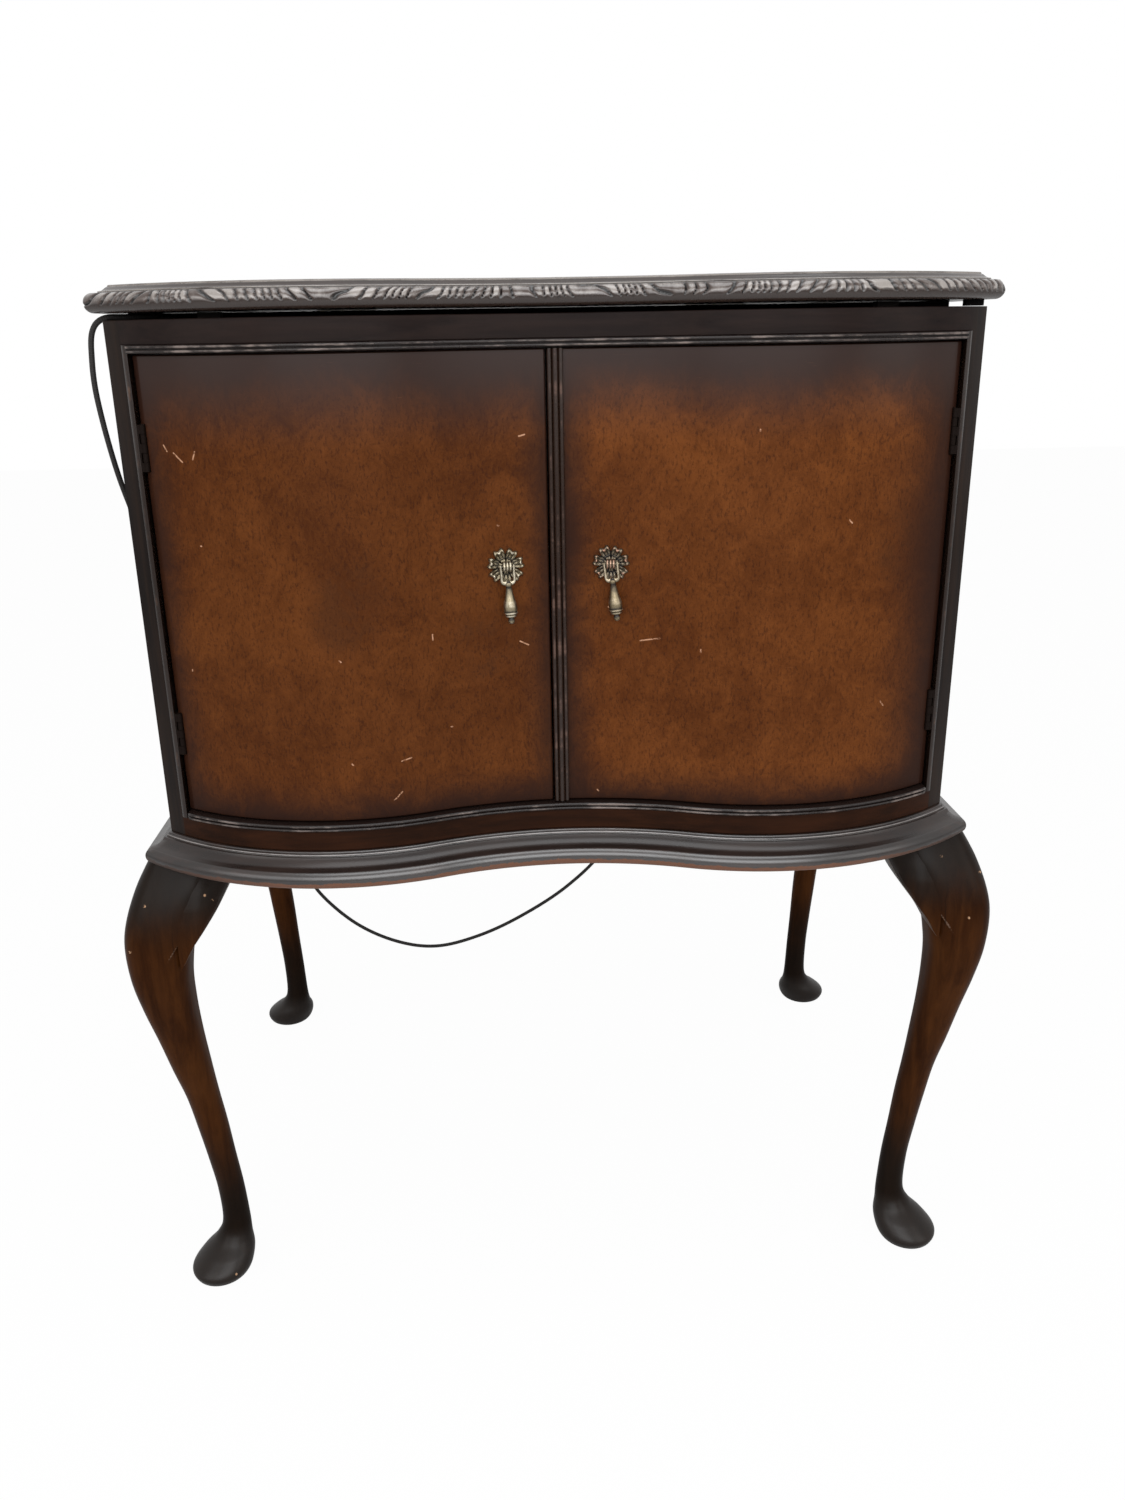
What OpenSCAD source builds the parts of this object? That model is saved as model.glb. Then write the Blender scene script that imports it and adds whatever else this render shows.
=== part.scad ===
// Gramophone cabinet on cabriole legs: a serpentine case with two curved doors, a hinged lid with a carved
// edge, and the record-playing machine and horn inside. Millimetres, +Z up, front towards -Y, floor at 0.

/* [Case] */
// Width of the case across its two front corners
case_w = 610; // [590:5:640]
// Depth of the case from its front corners to its back
case_d = 436; // [420:2:460]
// Height of the case above the base moulding
case_h = 375; // [365:1:400]
// Thickness of the case sides
side_t = 16; // [12:1:19]
// Thickness of the back board
back_t = 14; // [10:1:18]
// Thickness of the bottom board
bottom_t = 12; // [10:1:16]
// Height of the plain rail above and below the doors
rail_h = 16; // [12:1:20]
// Width of the plain corner stile beside the doors
stile_w = 13; // [11:1:16]

/* [Serpentine front] */
// How far the two bows stand in front of the line between the corners
bow_depth = 50; // [45:1:53]
// How far the middle of the front stands in front of that line
waist_depth = 22; // [17:1:24]
// Distance of each bow's crown from the middle
bow_x = 167; // [162:1:175]

/* [Doors] */
// Thickness of the doors
door_t = 18; // [15:1:19]
// How far the door faces lie behind the frame
door_recess = 3; // [2:0.5:4]
// Height of the reeded bead round the door opening
bead_h = 5.5; // [4.5:0.5:7]
// Width of the plain bead beside the doors
side_bead_w = 4.5; // [3.5:0.5:6]
// Width of the reeded bead that covers the meeting edge
meeting_w = 11; // [9:1:14]

/* [Base and legs] */
// Height of the legs from the floor to the base rails
leg_h = 410; // [390:1:430]
// Height of the base moulding and of the rails behind it
base_h = 24; // [22:1:28]
// How far the base moulding stands out from the case
base_out = 20; // [17:1:22]
// Width of the base rails
base_rail_w = 28; // [24:1:32]
// Radius of the pad foot
foot_r = 26.5; // [24:0.5:29]
// Radius of the leg at its ankle
ankle_r = 12; // [11:0.2:14]
// Half width of the leg at its knee
knee_r = 25; // [23:0.5:27]

/* [Lid] */
// Gap between the case and the closed lid
lid_gap = 4.5; // [4.5:0.5:6]
// Height of the carved bullnose round the lid
bullnose_h = 13; // [12:1:18]
// Height of the lid's top board above the bullnose
lid_top_h = 5; // [5:1:9]
// How far the bullnose stands out from the case
lid_out = 10; // [8:1:14]
// Width of the moulded frame round the lid
lid_frame_w = 35; // [30:1:45]
// Radius of the quadrant stay about the lid's hinge
stay_r = 95; // [92:1:96]
// Angle to which the lid opens
lid_open = 72; // [60:1:72]

/* [Record player] */
// Depth of the motor board below the top of the case
well_d = 96; // [95:1:100]
// Thickness of the motor board
board_t = 12; // [10:1:15]
// Radius of the turntable
platter_r = 150; // [127:1:152]
// Height of the turntable's rim
platter_rim = 12; // [9:1:13]
// Radius of the spindle below the turntable
spindle_r = 4; // [3.5:0.1:4.5]
// Running clearance round shafts
run_clear = 0.05; // [0.03:0.01:0.08]
// Distance from the tone arm's pivot to the needle
arm_reach = 270; // [262:1:276]
// Radius of the sound box
soundbox_r = 24; // [21:0.5:24]

/* [Horn] */
// Width of the horn's mouth
mouth_w = 400; // [340:10:420]
// Height of the horn's mouth
mouth_h = 172; // [150:2:176]
// Thickness of the baffle and the horn's boards
horn_t = 12; // [9:1:12]
// Number of louvre slats in the mouth
slat_count = 6; // [4:1:7]

/* [Drop pulls] */
// Height of the pulls above the bottom of the case
pull_z = 205; // [190:1:220]
// Distance of the pulls from the middle
pull_x = 38; // [34:1:44]
// Width of the backplate
plate_w = 28; // [24:1:32]
// Length of the hanging pull below its pin
drop_len = 44; // [38:1:48]

/* [Flex] */
// Diameter of the flex
flex_d = 4; // [3.5:0.1:4]

/* [Hidden] */
$fn = 48;

seat = 0.3;                       // gap between pieces that rest on each other but move apart
foot_y = 8;                       // how far the feet's centres stand in from the case's ends
rear_reach = 38.5 - foot_y;       // how far the rear knees stand behind the case
front_y = -(case_d + rear_reach - bow_depth - base_out) / 2;   // line through the two front corners
back_y = front_y + case_d;
half_w = case_w / 2;
case_z = leg_h + base_h;
top_z = case_z + case_h;
lid_z = top_z + lid_gap;
baffle_y = front_y + 16;
baffle_back_y = baffle_y + horn_t;
inner_x = half_w - side_t;
floor_z = case_z + bottom_t;
board_z = top_z - well_d;

// The serpentine: a convex arc through each corner and a concave arc between them, tangent to each other
bow_r = (pow(half_w - bow_x, 2) + pow(bow_depth, 2)) / (2 * bow_depth);
bow_y = bow_r - bow_depth;
waist_k = bow_y + waist_depth;
waist_r = (pow(bow_x, 2) + pow(waist_k, 2) - pow(bow_r, 2)) / (2 * (bow_r - waist_k));
tangent_sin = bow_x / (bow_r + waist_r);
function join_x(out) = bow_x - (bow_r + out) * tangent_sin;
function curve_y(x, out = 0) = front_y + (abs(x) < join_x(out)
    ? -waist_depth - waist_r + sqrt(pow(waist_r - out, 2) - x * x)
    : bow_y - sqrt(pow(bow_r + out, 2) - pow(abs(x) - bow_x, 2)));

curve_steps = 48;
function curve_line(x0, x1, out, n = curve_steps) =
    [for (i = [0:n]) let (x = x0 + (x1 - x0) * i / n) [x, curve_y(x, out)]];
function flip(list) = [for (i = [len(list) - 1:-1:0]) list[i]];

// A curved board between two offsets of the serpentine
module curved_board(x0, x1, out, back, z, h, n = curve_steps)
    translate([0, 0, z]) linear_extrude(h)
        polygon(concat(curve_line(x0, x1, out, n), flip(curve_line(x0, x1, back, n))));

// A board with a serpentine front and a straight back
module bowed_board(x0, x1, out, y, z, h)
    translate([0, 0, z]) linear_extrude(h)
        polygon(concat(curve_line(x0, x1, out), [[x1, y], [x0, y]]));

// Faces of a tube of rings, each ring a list of points in the same order
function ring_faces(rings, n) = concat(
    [[for (j = [n - 1:-1:0]) j]],
    [for (i = [0:rings - 2], j = [0:n - 1]) [i * n + j, i * n + (j + 1) % n, (i + 1) * n + (j + 1) % n]],
    [for (i = [0:rings - 2], j = [0:n - 1]) [i * n + j, (i + 1) * n + (j + 1) % n, (i + 1) * n + j]],
    [[for (j = [0:n - 1]) (rings - 1) * n + j]]);

// A moulding along the serpentine, mitred at both ends; each profile point is [distance out, height]
module front_moulding(profile, z, reach = half_w, mitre = 1, n = curve_steps) {
    pts = [for (i = [0:n], p = profile) let (x = (2 * i / n - 1) * (reach + mitre * p[0]))
        [x, curve_y(x, p[0]), z + p[1]]];
    polyhedron(pts, ring_faces(n + 1, len(profile)), convexity = 6);
}

// A straight moulding down one side, mitred to the front one; side is -1 or 1
mitre_gap = 0.4;
module side_moulding(profile, z, side, y_end) {
    ends = [for (p = profile) [side * (half_w + p[0]), curve_y(half_w + p[0], p[0]) + mitre_gap, z + p[1]]];
    backs = [for (p = profile) [side * (half_w + p[0]), y_end, z + p[1]]];
    rings = side < 0 ? concat(backs, ends) : concat(ends, backs);
    polyhedron(rings, ring_faces(2, len(profile)), convexity = 6);
}

module block(x0, x1, y0, y1, z0, z1)
    translate([x0, y0, z0]) cube([x1 - x0, y1 - y0, z1 - z0]);

module both_sides() { children(); mirror([1, 0, 0]) children(); }

// ---- case ----
stile_x = half_w - stile_w;
bead_x = stile_x - side_bead_w;
side_y = front_y + 20;
bead_back = -18;                  // how far the beads reach behind the face

module case_side() block(inner_x, half_w, side_y, back_y, case_z, top_z);
module left_side() color("#2a1a12") mirror([1, 0, 0]) case_side();
module right_side() color("#2a1a12") case_side();

module corner_stiles() color("#2a1a12") both_sides()
    translate([0, 0, case_z]) linear_extrude(case_h)
        polygon(concat(curve_line(stile_x, half_w, 0, 6), [[half_w, side_y], [stile_x, side_y]]));

module top_rail() color("#2a1a12") bowed_board(-stile_x, stile_x, 0, baffle_y, top_z - rail_h, rail_h);
module bottom_rail() color("#2a1a12") bowed_board(-stile_x, stile_x, 0, baffle_y, case_z, rail_h);

// Two reeds one above the other, on a strip let in behind the face
bead_out = 3.5;
function reed(z0, h, n = 6) = [for (i = [0:n]) let (a = 180 * i / n)
    [bead_out - 1.3 + 1.3 * sin(a), z0 + h * (1 - cos(a)) / 2]];
bead_profile = concat([[bead_back, bead_h], [bead_back, 0]], reed(0, bead_h / 2),
    reed(bead_h / 2, bead_h / 2));
module top_bead() color("#3b2a20") front_moulding(bead_profile, top_z - rail_h - bead_h, bead_x, 0);
module bottom_bead() color("#3b2a20") front_moulding(bead_profile, case_z + rail_h, bead_x, 0);

side_bead_out = 1.5;
module side_beads() color("#3b2a20") both_sides()
    translate([0, 0, case_z + rail_h]) linear_extrude(case_h - 2 * rail_h)
        polygon(concat(curve_line(bead_x, stile_x, side_bead_out, 4), flip(curve_line(bead_x, stile_x,
            bead_back, 4))));

flex_hole_x = 116;
flex_hole_z = 505;
grommet_r = 7;
module back_board() color("#4a3020") difference() {
    block(-inner_x, inner_x, back_y - back_t, back_y, case_z, top_z);
    translate([flex_hole_x, back_y + 1, flex_hole_z]) rotate([90, 0, 0])
        cylinder(r = grommet_r, h = back_t + 2);
}

module bottom_board() color("#4a3020")
    block(-inner_x, inner_x, baffle_y, back_y - back_t, case_z, floor_z);

// ---- base ----
// Two fillets, a hollow, a round nose that turns under, from top to bottom
function arc(cx, cz, r, a0, a1, n) = [for (i = [0:n]) let (a = a0 + (a1 - a0) * i / n)
    [cx + r * cos(a), cz + r * sin(a)]];
base_nose = 7;
base_profile = concat([[0, 0], [base_out - 4, 0]],
    arc(base_out - base_nose, base_nose, base_nose, -60, 70, 6),
    [[base_out - 9.5, base_nose + 7.5], [base_out - 13, base_h - 6.5], [base_out - 14.5, base_h - 4.5],
     [3, base_h - 3.5], [2.2, base_h - 2.2], [1.6, base_h - 1.2], [0.8, base_h], [0, base_h]]);
module base_front_moulding() color("#241813") front_moulding(base_profile, leg_h);
module base_side_mouldings() color("#241813") {
    side_moulding(base_profile, leg_h, -1, back_y);
    side_moulding(base_profile, leg_h, 1, back_y);
}

module base_rails() color("#2a1a12") {
    rail_end_y = front_y + 44;
    curved_board(-half_w, half_w, 0, -base_rail_w, leg_h, base_h);
    both_sides() block(half_w - base_rail_w, half_w, rail_end_y, back_y, leg_h, base_h + leg_h);
    block(base_rail_w - half_w, half_w - base_rail_w, back_y - base_rail_w, back_y, leg_h, base_h + leg_h);
}

// Leg stations from the floor up: height, distance out along the diagonal, half width, squareness
foot_x = 312;
rear_foot_x = 318;
leg_stations = [
    [0, 3, foot_r - 7, 2], [3, 2.5, foot_r - 2.5, 2], [10, 1, foot_r, 2], [20, -6, foot_r - 3.5, 2],
    [31, -12.6, ankle_r + 3.4, 2], [46, -17.3, ankle_r + 0.1, 2], [81, -15.9, ankle_r - 0.7, 2],
    [116, -11.5, ankle_r - 0.3, 2], [152, -6.6, ankle_r + 0.6, 2.1], [186, -1.2, ankle_r + 1.3, 2.2],
    [218, 5, ankle_r + 3.4, 2.4], [251, 10.9, ankle_r + 5.4, 2.6], [283, 16.3, knee_r - 4.8, 2.8],
    [312, 19.1, knee_r - 2.1, 3], [341, 17.1, knee_r + 1.5, 3.2], [362, 7.5, knee_r + 3.4, 3.6],
    [387, -6, knee_r + 4, 4.2], [leg_h, -14.5, knee_r, 5]];
leg_sides = 20;
leg_rings = 31;
// Value of a smooth curve through the stations at place t
function blend4(a, b, c, d, t) = b + 0.5 * t * (c - a + t * (2 * a - 5 * b + 4 * c - d
    + t * (3 * (b - c) + d - a)));
function along(list, u) = let (n = len(list), i = min(floor(u), n - 2), t = u - i)
    blend4(list[max(i - 1, 0)], list[i], list[i + 1], list[min(i + 2, n - 1)], t);
function round_square(a, n) = let (c = cos(a), s = sin(a))
    [sign(c) * pow(abs(c), 2 / n), sign(s) * pow(abs(s), 2 / n)];
module leg(first = 0) {
    pts = [for (i = [first:leg_rings - 1], j = [0:leg_sides - 1])
        let (s = along(leg_stations, i * (len(leg_stations) - 1) / (leg_rings - 1)),
            q = round_square(-360 * j / leg_sides, s[3]))
        [s[1] * cos(45) + s[2] * q[0], -s[1] * sin(45) + s[2] * q[1], s[0]]];
    polyhedron(pts, ring_faces(leg_rings - first, leg_sides), convexity = 4);
}
rear_foot_y = back_y - foot_y;
module front_right_leg() color("#33190d") translate([foot_x, front_y + foot_y, 0]) leg();
module front_left_leg() color("#33190d") mirror([1, 0, 0]) translate([foot_x, front_y + foot_y, 0]) leg();
module rear_right_leg() color("#33190d") translate([rear_foot_x, rear_foot_y, 0]) mirror([0, 1, 0]) leg();
module rear_left_leg() color("#33190d") mirror([1, 0, 0]) translate([rear_foot_x, rear_foot_y, 0])
    mirror([0, 1, 0]) leg();

// Ears carry each knee's inner line up to the rails; each is cut to the knee
ear_t = 22;
ear_mid = 5;
ear_line = [[-8, 0], [-56, 0], [-51, -13], [-44.5, -27], [-38, -39], [-29, -52], [-19.5, -65], [-13, -77],
    [-8, -84]];
module ear() translate([25 - knee_r, ear_mid + ear_t / 2, leg_h]) rotate([90, 0, 0])
    linear_extrude(ear_t) polygon(ear_line);
// One ear runs across the front, the other back along the side
module ears() difference() {
    union() {
        ear();
        mirror([1, 1, 0]) ear();
    }
    leg(23);
}
module knee_ears() color("#33190d") both_sides() {
    translate([foot_x, front_y + foot_y, 0]) ears();
    translate([rear_foot_x, rear_foot_y, 0]) mirror([0, 1, 0]) ears();
}

// ---- motor board and what stands on it ----
bearer = 12;
board_y0 = baffle_back_y;
board_y1 = back_y - back_t;
board_bottom = board_z - board_t;
module deck_bearers() color("#6a4a30") {
    both_sides() block(inner_x - bearer, inner_x, board_y0, board_y1, board_bottom - bearer, board_bottom);
    for (y = [board_y0, board_y1 - bearer])
        block(bearer - inner_x, inner_x - bearer, y, y + bearer, board_bottom - bearer, board_bottom);
}

spin_x = -50;
spin_y = front_y + 209;
arm_x = 195;
arm_y = front_y + 308;
pipe_r = 13;
cup_r = 19;
cup_x = 243;
cup_y = [front_y + 64, front_y + 114];
flex_gland_x = -262;
flex_gland_y = front_y + 45;
gland_r = 6;
knob_x = 110;
knob_y = front_y + 56;
brake_far = platter_r + 28;
brake_at = 219;
brake_x = spin_x + brake_far * cos(brake_at);
brake_y = spin_y + brake_far * sin(brake_at);
post_r = 5;
motor_r = 52;
bolt_ring = 66;
bolt_r = 3;
boss_r = 9;
module at_bolts() for (a = [90, 210, 330])
    translate([spin_x + bolt_ring * cos(a), spin_y + bolt_ring * sin(a), 0]) children();
module motor_board() color("#5b3c22") difference() {
    block(-inner_x, inner_x, board_y0, board_y1, board_bottom, board_z);
    translate([spin_x, spin_y, board_bottom - 1]) cylinder(r = boss_r + 2, h = board_t + 2);
    translate([arm_x, arm_y, board_bottom - 1]) cylinder(r = pipe_r + seat, h = board_t + 2);
    for (y = cup_y) translate([cup_x, y, board_bottom - 1]) cylinder(r = cup_r + seat, h = board_t + 2);
    translate([flex_gland_x, flex_gland_y, board_bottom - 1]) cylinder(r = gland_r, h = board_t + 2);
    translate([knob_x, knob_y, board_bottom - 1]) cylinder(r = post_r, h = board_t + 2);
    translate([brake_x, brake_y, board_bottom - 1]) cylinder(r = post_r, h = board_t + 2);
    at_bolts() translate([0, 0, board_bottom - 1]) cylinder(r = bolt_r + seat, h = board_t + 2);
}

plate_z = board_bottom - 9;
plate_t = 3;
case_len = 84;
module motor_plate() color("#8a8a88") translate([spin_x, spin_y, plate_z]) difference() {
    union() {
        cylinder(r = bolt_ring + 10, h = plate_t);
        cylinder(r = boss_r, h = board_z - plate_z);
    }
    translate([0, 0, -1]) cylinder(r = spindle_r + run_clear, h = board_z - plate_z + 2);
    for (a = [90, 210, 330]) rotate(a) translate([bolt_ring, 0, -1]) cylinder(r = bolt_r + seat, h = 9);
}
module motor_case() color("#2c2c2e") translate([spin_x, spin_y, plate_z - case_len]) difference() {
    union() {
        cylinder(r = motor_r, h = case_len);
        for (i = [0:5]) translate([0, 0, 12 + 11 * i]) cylinder(r = motor_r + 3, h = 4);
        translate([0, 0, -6]) cylinder(r = 18, h = 8);
    }
    translate([0, 0, case_len - 50]) cylinder(r = spindle_r + 0.4, h = 60);
}
module motor_bolts() color("#b0a890") at_bolts() {
    translate([0, 0, plate_z - 4]) cylinder(r = bolt_r, h = board_z - plate_z + 4);
    translate([0, 0, plate_z - 5.5]) cylinder(r = bolt_r + 3, h = 5.5, $fn = 6);
    translate([0, 0, plate_z + plate_t]) cylinder(r = bolt_r + 4, h = board_bottom - plate_z - plate_t);
    translate([0, 0, board_z]) cylinder(r = bolt_r + 2.5, h = 2);
}

// The spindle carries the turntable; both turn
mat_t = 2;
table_z = board_z + 6;
mat_z = table_z + platter_rim + mat_t;
module spindle() color("#c8c8c4") translate([spin_x, spin_y, 0]) {
    translate([0, 0, plate_z - 45]) cylinder(r = spindle_r, h = table_z + platter_rim - plate_z + 45);
    translate([0, 0, table_z + platter_rim]) cylinder(r = 3.6, h = mat_t + 8);
    translate([0, 0, mat_z + 8]) cylinder(r1 = 3.6, r2 = 1.6, h = 3);
}
hub_r = 14;
module turntable() color("#3a3a3c") translate([spin_x, spin_y, table_z]) rotate_extrude($fn = 96) polygon([
    [spindle_r + 0.03, 2], [hub_r, 2], [hub_r, platter_rim - 4], [hub_r + 3, platter_rim - 2.5],
    [platter_r - 6, platter_rim - 2.5], [platter_r - 3, platter_rim - 5], [platter_r - 3, 0],
    [platter_r, 0], [platter_r, platter_rim - 2], [platter_r - 2, platter_rim],
    [spindle_r + 0.03, platter_rim]]);
module turntable_mat() color("#27402c") translate([spin_x, spin_y, table_z + platter_rim])
    difference() {
        cylinder(r = platter_r - 3, h = mat_t, $fn = 96);
        translate([0, 0, -1]) cylinder(r = 3.8, h = mat_t + 2);
    }

// Tone arm: a pipe from the horn's throat, an arm that swings on it, and a gooseneck with the sound box
needle_gap = 2;
box_z = mat_z + needle_gap + 11 + soundbox_r;
pipe_top = box_z - 15;
stub_r = 10;
module tone_arm_base() color("#b9b4a2") translate([arm_x, arm_y, 0]) difference() {
    union() {
        translate([0, 0, board_z]) cylinder(r = 30, h = 4);
        translate([0, 0, board_z + 4]) cylinder(r1 = 24, r2 = 17, h = 5);
        translate([0, 0, board_bottom - 2]) cylinder(r = pipe_r, h = pipe_top - board_bottom + 2);
    }
    translate([0, 0, board_bottom - 3]) cylinder(r = stub_r + run_clear, h = pipe_top);
}
arm_len = arm_reach - 35;
spigot_r = 5;
module tone_arm() color("#c2bca8") translate([arm_x, arm_y, 0]) difference() {
    union() {
        translate([0, 0, pipe_top - 18]) cylinder(r = stub_r, h = 20);
        translate([0, 0, pipe_top + seat]) cylinder(r = pipe_r + 1, h = 3);
        translate([0, 0, pipe_top + 2]) cylinder(r = stub_r + 1, h = box_z - pipe_top - 2);
        translate([0, 0, box_z]) sphere(r = stub_r + 1.5);
        translate([0, 0, box_z]) rotate([90, 0, 0]) cylinder(r1 = stub_r + 0.5, r2 = 7.5, h = arm_len);
        translate([0, 8 - arm_len, box_z]) rotate([90, 0, 0]) cylinder(r = 9, h = 8);
    }
    translate([0, 0, pipe_top - 19]) cylinder(r = stub_r - 3, h = 18);
    translate([0, 14 - arm_len, box_z]) rotate([90, 0, 0]) cylinder(r = spigot_r + run_clear, h = 20);
}
neck_r = 14;
neck_tube = 6.5;
neck_y = arm_y - arm_len - seat - 4;
module gooseneck() color("#c2bca8") {
    translate([arm_x, neck_y + 16, box_z]) rotate([90, 0, 0]) cylinder(r = spigot_r, h = 16);
    translate([arm_x, neck_y + 4, box_z]) rotate([90, 0, 0]) cylinder(r = 8.5, h = 4);
    translate([arm_x - neck_r, neck_y, box_z]) rotate([0, 0, 270]) rotate_extrude(angle = 90)
        translate([neck_r, 0]) circle(r = neck_tube);
    translate([arm_x - neck_r, neck_y - neck_r, box_z]) rotate([0, -90, 0]) cylinder(r = neck_tube, h = 6);
}
box_back_x = arm_x - neck_r - 6;
box_t = 11;
needle_angle = 30;
module sound_box() color("#a08a58") translate([box_back_x, neck_y - neck_r, box_z]) rotate([0, -90, 0]) {
    difference() {
        union() {
            cylinder(r = soundbox_r, h = box_t);
            cylinder(r = 11, h = box_t + 0.5);
        }
        translate([0, 0, box_t - 3]) difference() {
            cylinder(r = soundbox_r - 4, h = 6);
            translate([0, 0, -1]) cylinder(r = 3, h = 9);
        }
    }
    translate([-soundbox_r - 1, 0, box_t / 2]) cube([7, 7, 7], center = true);
    translate([-soundbox_r, 0, box_t / 2]) rotate([0, -90, 0]) rotate([needle_angle, 0, 0])
        cylinder(r1 = 0.9, r2 = 0.5, h = 12.4);
    translate([-soundbox_r + 1, 0, box_t + 0.8]) rotate([0, 90, 0]) cylinder(r = 1.2, h = soundbox_r + 1);
    translate([-soundbox_r - 1, 0, box_t / 2]) cylinder(r = 1.6, h = box_t / 2 + 2);
}

rest_y = front_y + 134;
module arm_rest() color("#b9b4a2") translate([arm_x, rest_y, board_z]) {
    cylinder(r = 11, h = 3);
    cylinder(r = 4, h = box_z - board_z - 18);
    translate([-7, -4, box_z - board_z - 19]) cube([20, 8, 10.3]);
    translate([10.5, -4, box_z - board_z - 12]) cube([2.5, 8, 12]);
}
cup_depth = 10;
module needle_cups() color("#b9b4a2") for (y = cup_y) translate([cup_x, y, board_z]) rotate_extrude()
    polygon([[0, -cup_depth], [cup_r - 4, -cup_depth], [cup_r, -cup_depth + 5], [cup_r, 0],
    [cup_r + 4, 0], [cup_r + 4, 1.5], [cup_r - 2, 1.5], [cup_r - 2, -cup_depth + 5.5],
    [cup_r - 5, -cup_depth + 1.6], [0, -cup_depth + 1.6]]);

module speed_knob() color("#b9b4a2") translate([knob_x, knob_y, board_z]) {
    translate([0, 0, -8]) cylinder(r = post_r - run_clear, h = 9);
    translate([0, 0, seat]) cylinder(r = 13, h = 2);
    translate([0, 0, 2]) cylinder(r = 9, h = 9, $fn = 40);
    translate([-1, 6, 2]) cube([2, 6.5, 2]);
}
brake_arm = 40;
// The arm is turned so that its pad stands just off the turntable's rim
brake_dir = brake_at + 180 - acos((pow(brake_far, 2) + pow(brake_arm, 2) - pow(platter_r + 6, 2))
    / (2 * brake_arm * brake_far));
module brake_lever() color("#b9b4a2") translate([brake_x, brake_y, board_z]) {
    translate([0, 0, -8]) cylinder(r = post_r - run_clear, h = 16);
    translate([0, 0, seat]) cylinder(r = 9, h = 6);
    translate([0, 0, 8]) cylinder(r = 7, h = 4);
    rotate(brake_dir) translate([0, -3, 8]) cube([brake_arm - 4, 6, 3]);
    rotate(brake_dir + 180) translate([0, -4, 8]) cube([24, 8, 3]);
    rotate(brake_dir) translate([brake_arm, 0, 5]) cylinder(r = 5, h = 9);
}

// ---- horn behind the doors ----
mouth_z = floor_z + (board_bottom - floor_z - mouth_h) / 2;
slope_y = front_y + 134;
motor_clear = 25;
flat_z = plate_z - case_len - motor_clear;
throat_r = 20;
horn_back_y = board_y1 - 62;
horn_end_x = [158, 232];
wall_t = 8;
module horn_throat() color("#6f5a3c") translate([arm_x, arm_y, flat_z]) difference() {
    union() {
        cylinder(r = throat_r, h = board_bottom - flat_z);
        cylinder(r = throat_r + 8, h = 6);
    }
    translate([0, 0, -1]) cylinder(r = pipe_r + seat, h = board_bottom - flat_z + 2);
}
module horn_plan(grow) polygon([[-mouth_w / 2 - grow, baffle_back_y],
    [mouth_w / 2 + 5 + grow, baffle_back_y],
    [horn_end_x[1] + grow, horn_back_y], [horn_end_x[1] + grow, horn_back_y + grow],
    [horn_end_x[0] - grow, horn_back_y + grow], [horn_end_x[0] - grow, horn_back_y]]);
mouth_top = mouth_z + mouth_h;
module horn_lid_profile(drop) polygon([[baffle_back_y, mouth_top + wall_t - drop],
    [slope_y, flat_z - drop], [horn_back_y + wall_t, flat_z - drop], [horn_back_y + wall_t, case_z],
    [baffle_back_y, case_z]]);
module under_horn_lid(drop) rotate([90, 0, 90]) translate([0, 0, -half_w]) linear_extrude(case_w)
    horn_lid_profile(drop);
module horn_top_boards() color("#6f5a3c") difference() {
    intersection() {
        translate([0, 0, floor_z]) linear_extrude(case_h) horn_plan(wall_t);
        under_horn_lid(0);
    }
    under_horn_lid(wall_t);
    translate([arm_x, arm_y, flat_z - 20]) cylinder(r = pipe_r + seat, h = 30);
}
module horn_walls() color("#6f5a3c") intersection() {
    translate([0, 0, floor_z]) linear_extrude(case_h) difference() {
        horn_plan(wall_t);
        horn_plan(0);
    }
    under_horn_lid(wall_t);
}
module horn_baffle() color("#3a2416") difference() {
    block(-inner_x, inner_x, baffle_y, baffle_back_y, floor_z, top_z);
    block(-mouth_w / 2, mouth_w / 2, baffle_y - 1, baffle_back_y + 1, mouth_z, mouth_top);
}
slat_t = 4;
module horn_louvres() color("#4a2e1c") for (i = [0:slat_count - 1])
    translate([-mouth_w / 2, baffle_y + 2, mouth_z + (i + 0.5) * mouth_h / slat_count])
        rotate([-35, 0, 0]) translate([0, -2, -slat_t / 2]) cube([mouth_w, horn_t - 2, slat_t]);

// ---- lid ----
bull_z = bullnose_h;
bull_profile = concat([[-lid_frame_w, 0]], [[lid_out - 5, 0]],
    [for (i = [0:8]) let (a = -75 + 150 * i / 8)
        [lid_out - 6 + 6 * cos(a), bull_z / 2 + bull_z / 2 * sin(a)]],
    [[lid_out - 5.5, bull_z], [-lid_frame_w, bull_z]]);
lid_back_y = back_y - 0.5;
module lid_front_edge() color("#3a1c10") front_moulding(bull_profile, lid_z);
module lid_side_edges() color("#3a1c10") {
    side_moulding(bull_profile, lid_z, -1, lid_back_y);
    side_moulding(bull_profile, lid_z, 1, lid_back_y);
}
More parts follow.
